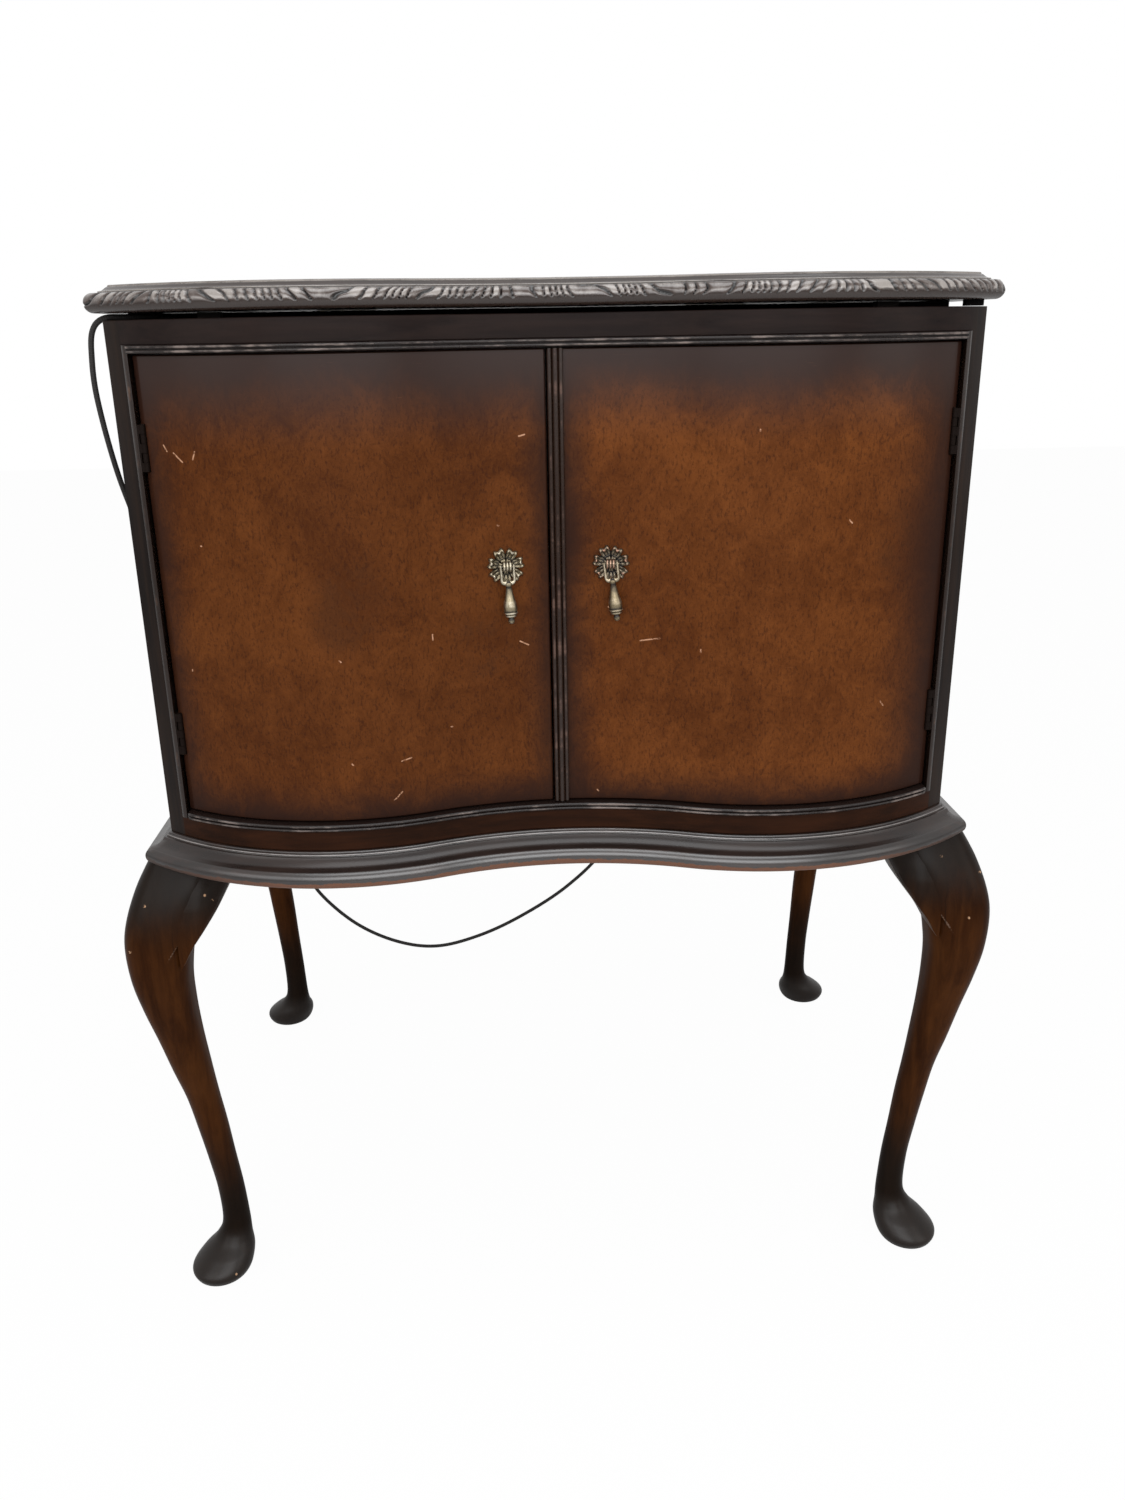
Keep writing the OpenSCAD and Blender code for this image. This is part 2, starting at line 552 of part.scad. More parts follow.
// The top board has a hollow edge; its rings are outlines of the lid, each further in
function lid_outline(out, z) = concat([for (i = [0:curve_steps]) let (x = (2 * i / curve_steps - 1)
    * (half_w + out)) [x, curve_y(x, out), z]],
    [[half_w + out, lid_back_y, z], [-half_w - out, lid_back_y, z]]);
lid_edge_steps = [[0.5, 0], [0.5, 1], [-1.5, 1.5], [-4, 2.8], [-5.5, 4.2], [-6, lid_top_h]];
core_drop = 4;
module lid_board() color("#2a1a12") {
    pts = [for (s = lid_edge_steps, p = flip(lid_outline(s[0], lid_z + bullnose_h + s[1]))) p];
    polyhedron(pts, ring_faces(len(lid_edge_steps), curve_steps + 3), convexity = 4);
    curve_in = lid_frame_w + seat;
    translate([0, 0, lid_z + core_drop]) linear_extrude(bullnose_h - core_drop) polygon(concat(
        curve_line(-half_w + curve_in, half_w - curve_in, -curve_in),
        [[half_w - curve_in, lid_back_y], [curve_in - half_w, lid_back_y]]));
}

lid_axis_y = back_y + 3.2;
lid_axis_z = top_z + lid_gap / 2;
hinge_x = [-190, 190];
hinge_len = 60;
lid_pin_r = 1.2;
leaf_t = 1.2;
knuckle_r = 2.6;
// One knuckle row along x: every second knuckle belongs to the same leaf
module knuckles_x(first) for (i = [first:2:4]) translate([i * hinge_len / 5 + 0.15 - hinge_len / 2, 0, 0])
    rotate([0, 90, 0]) cylinder(r = knuckle_r, h = hinge_len / 5 - 0.3);
module lid_hinge_plates() color("#8a7340") for (x = hinge_x) translate([x, lid_axis_y, lid_axis_z]) {
    difference() {
        union() {
            knuckles_x(0);
            for (i = [0:2:4]) translate([i * hinge_len / 5 + 0.15 - hinge_len / 2, -4, -lid_gap / 2])
                cube([hinge_len / 5 - 0.3, 3.4, leaf_t]);
        }
        translate([-hinge_len, 0, 0]) rotate([0, 90, 0])
            cylinder(r = lid_pin_r + run_clear, h = 2 * hinge_len);
    }
    translate([-hinge_len / 2, lid_back_y - lid_axis_y - 11, -lid_gap / 2]) cube([hinge_len, 10.5, leaf_t]);
}
module lid_hinge_flaps() color("#8a7340") for (x = hinge_x) translate([x, lid_axis_y, lid_axis_z]) {
    knuckles_x(1);
    for (i = [1:2:3]) translate([i * hinge_len / 5 + 0.15 - hinge_len / 2, -4, lid_gap / 2 - leaf_t])
        cube([hinge_len / 5 - 0.3, 3.4, leaf_t]);
    translate([-hinge_len / 2, lid_back_y - lid_axis_y - 11, lid_gap / 2 - leaf_t])
        cube([hinge_len, 10.5, leaf_t]);
    translate([-hinge_len / 2, 0, 0]) rotate([0, 90, 0]) cylinder(r = lid_pin_r, h = hinge_len);
}

// A quadrant about the lid's hinge slides through a guide on the right side
stay_x = inner_x - 10;
stay_t = 2;
stay_w = 6;
stay_span = lid_open + 4;
module quadrant(r0, r1, a0, a1, x, t) translate([x, lid_axis_y, lid_axis_z]) rotate([90, 0, 90])
    rotate([0, 0, 180 + a0]) rotate_extrude(angle = a1 - a0, $fn = 96) translate([r0, 0])
    square([r1 - r0, t]);
module lid_stay() color("#b08d4a") {
    quadrant(stay_r - stay_w / 2, stay_r + stay_w / 2, 0, stay_span, stay_x, stay_t);
    translate([stay_x - 4, lid_axis_y - stay_r - 14, lid_axis_z + lid_gap / 2 - 1.6]) cube([12, 28, 1.6]);
    translate([stay_x, lid_axis_y - stay_r - stay_w / 2, lid_axis_z - 0.5]) cube([stay_t, stay_w, 2]);
}
guide_a = 14;
module stay_guide() color("#b08d4a") {
    gy = lid_axis_y - stay_r * cos(guide_a);
    gz = lid_axis_z - stay_r * sin(guide_a);
    difference() {
        block(stay_x - 3, inner_x, gy - 8, gy + 8, gz - 5, gz + 5);
        quadrant(stay_r - stay_w / 2 - 0.4, stay_r + stay_w / 2 + 0.4, 0, 40, stay_x - 0.4, stay_t + 0.8);
    }
    block(inner_x - 2, inner_x, gy - 8, gy + 8, gz - 14, gz + 12);
}

pad_x = 225;
module lid_pads() color("#2e241c") both_sides()
    block(pad_x, pad_x + 15, front_y - 6, front_y + 4, top_z, lid_z - seat);

// ---- doors ----
door_gap = 2.2;
door_x = bead_x - door_gap;
door_z0 = case_z + rail_h + bead_h + 1;
door_h = case_h - 2 * (rail_h + bead_h + 1);
meet_gap = 1.4;
meet_x = -meeting_w / 2;
door_axis_x = door_x - 1.3;
door_axis_y = curve_y(door_axis_x, -door_recess) - 1;
door_steps = 24;
module door_board(x0, x1)
    curved_board(x0, x1, -door_recess, -door_recess - door_t, door_z0, door_h, door_steps);
module left_door_panel() color("#5a2f16") difference() {
    door_board(-door_x, meet_x - meet_gap);
    mirror([1, 0, 0]) barrel_room();
}
module right_door_panel() color("#5a2f16") difference() {
    door_board(meet_x, door_x);
    barrel_room();
}

// Three reeds side by side down the meeting edge
bead_y = curve_y(meeting_w / 2, -door_recess) - 0.1;
module meeting_bead() color("#3b2a20") translate([0, bead_y, door_z0]) linear_extrude(door_h)
    intersection() {
        union() {
            for (i = [-1:1]) translate([i * meeting_w / 3, -2.6]) circle(r = meeting_w / 6, $fn = 24);
            translate([-meeting_w / 2, -2.6]) square([meeting_w, 2.6]);
        }
        translate([-meeting_w / 2, -8]) square([meeting_w, 8]);
    }

// Small hinges whose barrels are sunk into the doors' edges
leaf_d = 14;
door_leaf_t = 0.9;
barrel_r = 2;
barrel_len = 32;
barrel_pin_r = 0.9;
barrel_z = [door_z0 + 45, door_z0 + door_h - 45 - barrel_len];
module barrel_room() for (z = barrel_z) translate([door_axis_x, door_axis_y, z - seat])
    cylinder(r = barrel_r + seat, h = barrel_len + 2 * seat, $fn = 32);
module barrels(first) for (i = [first:2:4]) translate([0, 0, i * barrel_len / 5 + 0.15])
    cylinder(r = barrel_r, h = barrel_len / 5 - 0.3, $fn = 32);
module right_hinge_plate() translate([door_axis_x, door_axis_y, 0]) for (z = barrel_z) translate([0, 0, z]) {
    difference() {
        union() {
            barrels(0);
            for (i = [0:2:4]) translate([0, -1.2, i * barrel_len / 5 + 0.15])
                cube([bead_x - door_axis_x, 2.4, barrel_len / 5 - 0.3]);
        }
        translate([0, 0, -1]) cylinder(r = barrel_pin_r + run_clear, h = barrel_len + 2);
    }
    translate([bead_x - door_axis_x - door_leaf_t, -1.2, 0]) cube([door_leaf_t, leaf_d, barrel_len]);
}
module right_hinge_leaf() translate([door_axis_x, door_axis_y, 0]) for (z = barrel_z) translate([0, 0, z]) {
    barrels(1);
    for (i = [1:2:3]) translate([door_x - door_axis_x, 0, i * barrel_len / 5 + 0.15])
        cube([door_leaf_t, 4, barrel_len / 5 - 0.3]);
    translate([door_x - door_axis_x, 3, 0]) cube([door_leaf_t, leaf_d - 3, barrel_len]);
    cylinder(r = barrel_pin_r, h = barrel_len);
}
module door_hinge_plates() color("#5f4a2a") both_sides() right_hinge_plate();
module right_door_hinges() color("#5f4a2a") right_hinge_leaf();
module left_door_hinges() color("#5f4a2a") mirror([1, 0, 0]) right_hinge_leaf();

// ---- drop pulls ----
// Each pull stands square to the curved door at its place
pull_turn = -asin(pull_x / (waist_r + door_recess));
plate_seat = pow(plate_w / 2, 2) / (2 * (waist_r + door_recess)) + 0.05;
plate_thick = 2.4;
pin_out = 8;
pin_up = 1;
pull_pin_r = 1;
boss_w = 4;
module at_pull() translate([pull_x, curve_y(pull_x, -door_recess), case_z + pull_z])
    rotate(pull_turn) children();
// A leafy plate: eight lobes round a domed middle
module backplate() at_pull() difference() {
    union() {
        translate([0, -plate_seat, 0]) rotate([90, 0, 0]) {
            linear_extrude(plate_thick) polygon([for (a = [0:7.5:352.5])
                let (r = plate_w / 2 - 1.4 * (1 - cos(8 * a))) [r * cos(a), r * sin(a)]]);
            translate([0, 0, plate_thick - 1]) cylinder(r1 = 9, r2 = 5, h = 3);
        }
        translate([-boss_w / 2, -pin_out - 2.2, pin_up - 2.6]) cube([boss_w, pin_out, 5.2]);
    }
    translate([-5, -pin_out, pin_up]) rotate([0, 90, 0]) cylinder(r = pull_pin_r + run_clear, h = 10);
}
bail_x = 6;
bail_drop = 14;
module drop_pull() at_pull() translate([0, -pin_out, pin_up]) {
    translate([-bail_x, 0, 0]) rotate([0, 90, 0]) cylinder(r = pull_pin_r, h = 2 * bail_x);
    for (s = [-1, 1]) translate([s * (bail_x - 0.8), 0, bail_x - bail_drop])
        cylinder(r = 1.5, h = bail_drop - bail_x + 1.5);
    translate([0, 0, bail_x - bail_drop]) rotate([90, 0, 0]) rotate([0, 0, 180])
        rotate_extrude(angle = 180) translate([bail_x - 0.8, 0]) circle(r = 1.5, $fn = 24);
    translate([0, 0, -drop_len]) rotate_extrude(convexity = 4) polygon([[0, 0], [1.4, 0.4],
        [2, 1.6], [1.5, 3], [3, 4.2], [4.4, 7], [4.6, 9.4], [3.4, 10.2], [4.4, 11.2], [5.4, 13.2], [5, 15.6],
        [3.4, 19], [2.2, 23], [1.9, 27], [2.6, 29], [1.6, 31], [0, 31]]);
}
module left_backplate() color("#7d6a45") mirror([1, 0, 0]) backplate();
module right_backplate() color("#7d6a45") backplate();
module left_drop_pull() color("#7d6a45") mirror([1, 0, 0]) drop_pull();
module right_drop_pull() color("#7d6a45") drop_pull();

// ---- flex ----
flex_r = flex_d / 2;
module flex_grommets() color("#17130f") {
    translate([flex_gland_x, flex_gland_y, board_bottom]) difference() {
        union() {
            cylinder(r = gland_r, h = board_t);
            translate([0, 0, board_t]) cylinder(r = gland_r + 3, h = 2.5);
        }
        translate([0, 0, -1]) cylinder(r = flex_r + 0.5, h = board_t);
    }
    translate([flex_hole_x, back_y, flex_hole_z]) rotate([90, 0, 0]) difference() {
        union() {
            cylinder(r = grommet_r, h = back_t);
            translate([0, 0, -2]) cylinder(r = grommet_r + 3, h = 2);
            translate([0, 0, back_t]) cylinder(r = grommet_r + 3, h = 2);
        }
        translate([0, 0, -3]) cylinder(r = flex_r + 0.5, h = back_t + 8);
    }
}
// Where the flex runs: up from the board, over the case edge under the lid, down the left side, under the
// base, in a slack loop behind the legs, up the back and in through its hole to the plug; y is from the
// line through the front corners
flex_route = [
    [-262, 45, 715.5], [-262, 45, 760], [-262, 45, 789], [-264.3, 41.2, 804.5], [-271, 31, 810.8],
    [-281, 18.75, 811.1], [-293, 12, 811.1], [-307, 10.5, 810.5], [-315.5, 11, 803.5], [-319, 12, 788],
    [-320.5, 15.5, 757.5], [-318, 30.25, 705], [-314.5, 63, 646], [-316, 102.5, 586.5], [-322, 144, 525],
    [-328.5, 190, 456.5], [-330.2, 227.5, 410.5], [-324, 275.5, 367], [-311, 325.5, 325.5],
    [-298.5, 384, 271.5], [-289, 434, 212], [-277, 454.75, 158.5], [-236, 458, 111.5], [-186.5, 458, 83.5],
    [-136.5, 458, 74.5], [-82, 458, 87.5], [-27.5, 458, 113.5], [27.5, 458, 150.5], [72, 458, 197.5],
    [99.5, 458.75, 264], [112, 459.75, 345], [116, 460, 425], [116, 459, 473], [116, 452, 497.5],
    [116, 437, 505], [116, 419, 505], [113.5, 403, 498.5], [102, 392, 478], [85, 385, 463],
    [66.6, 382, 459]];
flex_rings = 79;
function unit(v) = v / norm(v);
function flex_at(u) = along(flex_route, u);
module flex() color("#15120f") {
    last = len(flex_route) - 1;
    pts = [for (i = [0:flex_rings - 1])
        let (u = i * last / (flex_rings - 1), p = flex_at(u) + [0, front_y, 0],
            d = unit(flex_at(min(u + 0.05, last)) - flex_at(max(u - 0.05, 0))),
            a = unit(cross(d, abs(d[1]) < 0.8 ? [0, 1, 0] : [0, 0, 1])), b = cross(d, a))
        each [for (j = [0:7]) p + flex_r * (a * cos(45 * j) - b * sin(45 * j))]];
    polyhedron(pts, ring_faces(flex_rings, 8), convexity = 10);
}
module flex_plug() color("#2b1a12") translate([66, front_y + 382, 459]) {
    rotate([0, -90, 0]) cylinder(r1 = 7, r2 = 12, h = 18);
    translate([-26, -13, -13]) cube([9, 26, 26]);
    for (s = [-1, 1]) translate([-26, s * 6, 0]) rotate([0, -90, 0]) cylinder(r = 2.2, h = 16);
}

left_side();
right_side();
corner_stiles();
top_rail();
bottom_rail();
top_bead();
bottom_bead();
side_beads();
back_board();
bottom_board();
base_front_moulding();
base_side_mouldings();
base_rails();
front_left_leg();
front_right_leg();
rear_left_leg();
rear_right_leg();
knee_ears();
deck_bearers();
motor_board();
motor_plate();
motor_case();
motor_bolts();
tone_arm_base();
arm_rest();
needle_cups();
horn_throat();
horn_top_boards();
horn_walls();
horn_baffle();
horn_louvres();
stay_guide();
lid_hinge_plates();
lid_pads();
door_hinge_plates();
flex_grommets();
flex();
flex_plug();
lid_board();
lid_front_edge();
lid_side_edges();
lid_stay();
lid_hinge_flaps();
left_door_panel();
left_door_hinges();
left_backplate();
left_drop_pull();
right_door_panel();
meeting_bead();
right_door_hinges();
right_backplate();
right_drop_pull();
spindle();
turntable();
turntable_mat();
tone_arm();
gooseneck();
sound_box();
speed_knob();
brake_lever();
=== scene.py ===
import math
import bpy
import bmesh
from mathutils import Matrix, Vector, noise


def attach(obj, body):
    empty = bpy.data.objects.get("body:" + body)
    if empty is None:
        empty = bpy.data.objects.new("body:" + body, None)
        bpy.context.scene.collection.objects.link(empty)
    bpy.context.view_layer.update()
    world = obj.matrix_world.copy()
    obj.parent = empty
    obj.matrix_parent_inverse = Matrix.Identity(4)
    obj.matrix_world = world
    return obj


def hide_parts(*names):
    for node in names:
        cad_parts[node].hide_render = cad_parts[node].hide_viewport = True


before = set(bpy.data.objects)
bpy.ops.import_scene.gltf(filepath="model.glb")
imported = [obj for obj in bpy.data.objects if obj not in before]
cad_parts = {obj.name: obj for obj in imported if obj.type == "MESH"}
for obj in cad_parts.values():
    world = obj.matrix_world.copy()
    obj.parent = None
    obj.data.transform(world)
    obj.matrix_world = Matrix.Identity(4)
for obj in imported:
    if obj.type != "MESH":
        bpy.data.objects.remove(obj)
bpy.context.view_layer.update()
MM = 0.001

# ---- camera ----
# The photograph was taken by hand from just below the lid, turned slightly right and down, and rolled about a
# degree. The picture's long side is the sensor's.
PICTURE_HEIGHT = 1500
LENS_PIXELS = 1190
CAMERA_AT = (-0.04146, -1.07019, 0.79737)
YAW, PITCH, ROLL = 0.04951, 0.33853, 0.01706
ahead = Vector((math.sin(YAW) * math.cos(PITCH), math.cos(YAW) * math.cos(PITCH), -math.sin(PITCH)))
level = Vector((math.cos(YAW), -math.sin(YAW), 0.0))
to_right = level * math.cos(ROLL) + ahead.cross(level) * math.sin(ROLL)
camera = bpy.data.cameras.new("camera")
camera.sensor_fit = "VERTICAL"
camera.sensor_height = 36.0
camera.lens = camera.sensor_height * LENS_PIXELS / PICTURE_HEIGHT
camera.clip_start = 0.01
tripod = bpy.data.objects.new("camera", camera)
tripod.matrix_world = Matrix((to_right, to_right.cross(ahead), -ahead)).transposed().to_4x4()
tripod.location = CAMERA_AT
bpy.context.scene.collection.objects.link(tripod)
bpy.context.scene.camera = tripod
bpy.context.scene.view_settings.view_transform = "Standard"


# ---- studio ----
# A plain pale floor and a white surround, lit by a wide lamp overhead, a strong one in front and a soft one
# at each side, so that what faces up has a sheen and the upright faces stay dark, as in the photograph.
class Wire:
    """A value on its way through a material's nodes: + - and * between values add Math nodes."""

    def __init__(self, finish, socket):
        self.finish, self.socket = finish, socket

    def maths(self, operation, *values):
        return self.finish.node("ShaderNodeMath", {"operation": operation}, dict(enumerate(values)))

    def __add__(self, other):
        return self.maths("ADD", self, other)

    def __sub__(self, other):
        return self.maths("SUBTRACT", self, other)

    def __rsub__(self, other):
        return self.maths("SUBTRACT", other, self)

    def __mul__(self, other):
        return self.maths("MULTIPLY", self, other)

    __radd__, __rmul__ = __add__, __mul__

    def size(self):
        return self.maths("ABSOLUTE", self)

    def wave(self):
        """The sine of a value that counts whole turns."""
        return self.maths("SINE", self * (2 * math.pi))

    def rise(self, low, high):
        """0 below low, 1 above high, and smooth between them."""
        return self.finish.node("ShaderNodeMapRange", {"interpolation_type": "SMOOTHSTEP"},
                                {"Value": self, "From Min": low, "From Max": high})

class Finish:
    """One material, or other nodes whose tree it is given. Its node method adds any node."""

    def __init__(self, name, tree=None, **sockets):
        if tree is None:
            self.material = bpy.data.materials.new(name)
            self.material.use_nodes = True
            tree = self.material.node_tree
            self.shader = tree.nodes["Principled BSDF"]
            self.settle(**sockets)
        self.tree = tree

    def settle(self, **sockets):
        """Gives sockets of the shader a value or a link, named with _ for a space."""
        for name, value in sockets.items():
            self.plug(self.shader.inputs[name.replace("_", " ")], value)
        return self

    def plug(self, socket, value):
        if isinstance(value, Wire):
            socket.id_data.links.new(value.socket, socket)
        else:
            socket.default_value = value

    def node(self, kind, settings=None, values=None, out=0):
        made = self.tree.nodes.new(kind)
        for name, value in (settings or {}).items():
            setattr(made, name, value)
        for name, value in (values or {}).items():
            self.plug(made.inputs[name], value)
        return Wire(self, made.outputs[out])

    def here(self, out="Object"):
        return self.node("ShaderNodeTexCoord", out=out)

    def axis(self, letter, vector=None):
        return self.node("ShaderNodeSeparateXYZ", None, {"Vector": vector or self.here()}, letter)

    def mm(self, letter):
        """The place along an axis in millimetres."""
        return self.axis(letter) * (1 / MM)

    def grain(self, stretch, detail=6.0, roughness=0.6, distortion=0.0):
        """Noise on coordinates stretched by three factors, so that it runs along the smallest of them."""
        placed = self.node("ShaderNodeMapping", None, {"Vector": self.here(), "Scale": stretch})
        return self.node("ShaderNodeTexNoise", None, {"Vector": placed, "Scale": 1.0, "Detail": detail,
                                                      "Roughness": roughness, "Distortion": distortion})

    def relief(self):
        return self.node("ShaderNodeAttribute", {"attribute_name": "relief"}, out="Fac")

    def blend(self, first, second, share):
        return self.node("ShaderNodeMix", {"data_type": "RGBA"}, {0: share, 6: first, 7: second}, 2)

    def mark(self, first, last, wide):
        """1 on a scratch between two places given in millimetres and 0 away from it."""
        first, span = Vector(first) * MM, (Vector(last) - Vector(first)) * MM
        kind = "ShaderNodeVectorMath"
        off = self.node(kind, {"operation": "SUBTRACT"}, {0: self.here(), 1: first})
        along = self.node(kind, {"operation": "DOT_PRODUCT"}, {0: off, 1: span / span.length_squared}, 1)
        along = along.maths("MINIMUM", along.maths("MAXIMUM", along, 0.0), 1.0)
        nearest = self.node(kind, {"operation": "SCALE"}, {0: span, 3: along})
        away = self.node(kind, {"operation": "DISTANCE"}, {0: off, 1: nearest}, 1)
        return 1.0 - away.rise(wide * 0.4 * MM, wide * MM)

    def marks(self, places, wide):
        """All the scratches of a list, each two places."""
        made = self.mark(*places[0], wide)
        for first, last in places[1:]:
            made = made.maths("MAXIMUM", made, self.mark(first, last, wide))
        return made

    def bump(self, height, depth, strength=1.0):
        return self.node("ShaderNodeBump", None, {"Height": height, "Distance": depth, "Strength": strength})


surround = bpy.data.worlds.new("surround")
surround.use_nodes = True
bpy.context.scene.world = surround
sky = Finish("surround", surround.node_tree)
ray = sky.node("ShaderNodeLightPath", out="Is Camera Ray")
seen = ray.maths("MAXIMUM", ray, sky.node("ShaderNodeLightPath", out="Is Glossy Ray"))
seen = ray.maths("MAXIMUM", seen, sky.node("ShaderNodeLightPath", out="Is Transmission Ray"))
SOFT_LIGHT = 0.42
backing = surround.node_tree.nodes["Background"]
backing.inputs["Color"].default_value = (1.0, 1.0, 1.0, 1.0)
sky.plug(backing.inputs["Strength"], seen * (1.0 - SOFT_LIGHT) + SOFT_LIGHT)

bm = bmesh.new()
bmesh.ops.create_grid(bm, x_segments=1, y_segments=1, size=7.0)
floor_mesh = bpy.data.meshes.new("floor")
bm.to_mesh(floor_mesh)
bm.free()
floor = bpy.data.objects.new("floor", floor_mesh)
bpy.context.scene.collection.objects.link(floor)
floor_paint = Finish("floor_paint", Base_Color=(0.85, 0.85, 0.85, 1.0), Roughness=0.9, Specular_IOR_Level=0.1)
glow = floor_paint.node("ShaderNodeEmission", None, {"Color": (1.0, 1.0, 1.0, 1.0), "Strength": 1.0})
camera_ray = floor_paint.node("ShaderNodeLightPath", out="Is Camera Ray")
mixed = floor_paint.node("ShaderNodeMixShader", None, {0: camera_ray * 0.97})
floor_paint.plug(mixed.socket.node.inputs[1], Wire(floor_paint, floor_paint.shader.outputs[0]))
floor_paint.plug(mixed.socket.node.inputs[2], glow)
floor_paint.plug(floor_paint.tree.nodes["Material Output"].inputs["Surface"], mixed)
floor_mesh.materials.append(floor_paint.material)


def lamp(name, place, aim, wide, deep, watts, tint):
    light = bpy.data.lights.new(name, "AREA")
    light.shape = "RECTANGLE"
    light.size, light.size_y, light.energy, light.color = wide, deep, watts, tint
    holder = bpy.data.objects.new(name, light)
    holder.location = place
    holder.rotation_euler = (Vector(aim) - Vector(place)).to_track_quat("-Z", "Y").to_euler()
    bpy.context.scene.collection.objects.link(holder)


lamp("overhead", (0.1, -0.5, 2.5), (0.0, -0.15, 0.6), 1.8, 1.2, 22.0, (0.96, 0.98, 1.0))
lamp("front_high", (0.0, -2.3, 1.45), (0.0, 0.0, 0.5), 2.2, 1.2, 32.0, (0.97, 0.985, 1.0))
lamp("front_left", (-1.9, -1.9, 1.5), (0.0, 0.0, 0.5), 1.4, 1.4, 13.0, (1.0, 1.0, 1.0))
lamp("front_right", (2.0, -1.7, 1.3), (0.0, 0.0, 0.5), 1.2, 1.4, 9.0, (1.0, 0.99, 0.97))

# ---- flex ----
# The record player's mains flex comes up through a gland in the motor board, over the case's edge under the
# lid, hangs down the left side and in a slack loop behind the legs, and goes in through the back to its plug.
FRONT_Y = -198.25                # the line through the case's two front corners
FLEX_R = 2.0
BRAID_ROUND = 12
BRAID_STEPS = 12
flex_route = [
    (-262, 45, 715.5), (-262, 45, 760), (-262, 45, 789), (-264.3, 41.2, 804.5), (-271, 31, 810.8),
    (-281, 18.75, 811.1), (-293, 12, 811.1), (-307, 10.5, 810.5), (-315.5, 11, 803.5), (-319, 12, 788),
    (-320.5, 15.5, 757.5), (-318, 30.25, 705), (-314.5, 63, 646), (-316, 102.5, 586.5), (-322, 144, 525),
    (-328.5, 190, 456.5), (-330.2, 227.5, 410.5), (-324, 275.5, 367), (-311, 325.5, 325.5),
    (-298.5, 384, 271.5), (-289, 434, 212), (-277, 454.75, 158.5), (-236, 458, 111.5), (-186.5, 458, 83.5),
    (-136.5, 458, 74.5), (-82, 458, 87.5), (-27.5, 458, 113.5), (27.5, 458, 150.5), (72, 458, 197.5),
    (99.5, 458.75, 264), (112, 459.75, 345), (116, 460, 425), (116, 459, 473), (116, 452, 497.5),
    (116, 437, 505), (116, 419, 505), (113.5, 403, 498.5), (102, 392, 478), (85, 385, 463),
    (66.6, 382, 459)]
flex_route = [(x, y + FRONT_Y, z) for x, y, z in flex_route]


def through(points, step):
    """The place on a smooth curve through the points, where step counts points from the first."""
    last = len(points) - 1
    at = min(int(step), last - 1)
    part = step - at
    a, b, c, d = (Vector(points[max(0, min(last, at + k))]) for k in (-1, 0, 1, 2))
    return b + 0.5 * part * (c - a + part * (2 * a - 5 * b + 4 * c - d + part * (3 * (b - c) + d - a)))


def lofted(rings, relief=None):
    """A closed skin through rings of points in millimetres. Its UVs are lengths round and along it."""
    count, levels = len(rings[0]), len(rings) - 1
    middle = rings[levels // 2]
    u_at, v_at = [0.0], [0.0]
    for i in range(count):
        u_at.append(u_at[-1] + (Vector(middle[(i + 1) % count]) - Vector(middle[i])).length * MM)
    for j in range(levels):
        v_at.append(v_at[-1] + (Vector(rings[j + 1][0]) - Vector(rings[j][0])).length * MM)
    bm = bmesh.new()
    uv = bm.loops.layers.uv.new("UVMap")
    height = bm.verts.layers.float.new("relief")
    bmesh.ops.create_grid(bm, x_segments=count, y_segments=levels, size=1.0)
    seat = {v: (round((v.co.x + 1) / 2 * count), round((v.co.y + 1) / 2 * levels)) for v in bm.verts}
    for face in bm.faces:
        for loop in face.loops:
            i, j = seat[loop.vert]
            loop[uv].uv = (u_at[i], v_at[j])
    for v, (i, j) in seat.items():
        v.co = Vector(rings[j][i % count]) * MM
        v[height] = relief[j][i % count] if relief else 0.5
    bmesh.ops.remove_doubles(bm, verts=bm.verts, dist=1e-6)
    bmesh.ops.holes_fill(bm, edges=[e for e in bm.edges if e.is_boundary])
    bmesh.ops.triangulate(bm, faces=[f for f in bm.faces if len(f.verts) > 4])
    bmesh.ops.recalc_face_normals(bm, faces=bm.faces)
    return bm


def piece(name, bm, finish, body, stands_for=(), sharp=35):
    """Puts a finished shape in the scene, riding on its body. Several shapes in a list become one piece."""
    mesh = bpy.data.meshes.new(name)
    shapes = bm if isinstance(bm, list) else [bm]
    whole = shapes[0]
    for other in shapes[1:]:
        spare = bpy.data.meshes.new("spare")
        other.to_mesh(spare)
        other.free()
        whole.from_mesh(spare)
        bpy.data.meshes.remove(spare)
    whole.to_mesh(mesh)
    whole.free()
    mesh.shade_smooth()
    mesh.set_sharp_from_angle(angle=math.radians(sharp))
    mesh.materials.append(finish.material)
    made = bpy.data.objects.new(name, mesh)
    bpy.context.scene.collection.objects.link(made)
    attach(made, body)
    if stands_for:
        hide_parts(*stands_for)
    return made


def round_angles(count):
    """Angles spaced evenly round a circle."""
    return [2 * math.pi * k / count for k in range(count)]


def disc_ring(centre, direction, radius, count):
    """Points round a centre, square to a direction."""
    direction = Vector(direction).normalized()
    side = direction.cross(Vector((0, 1, 0)) if abs(direction.y) < 0.8 else Vector((0, 0, 1))).normalized()
    up = direction.cross(side)
    return [Vector(centre) + radius * (side * math.cos(a) + up * math.sin(a)) for a in round_angles(count)]


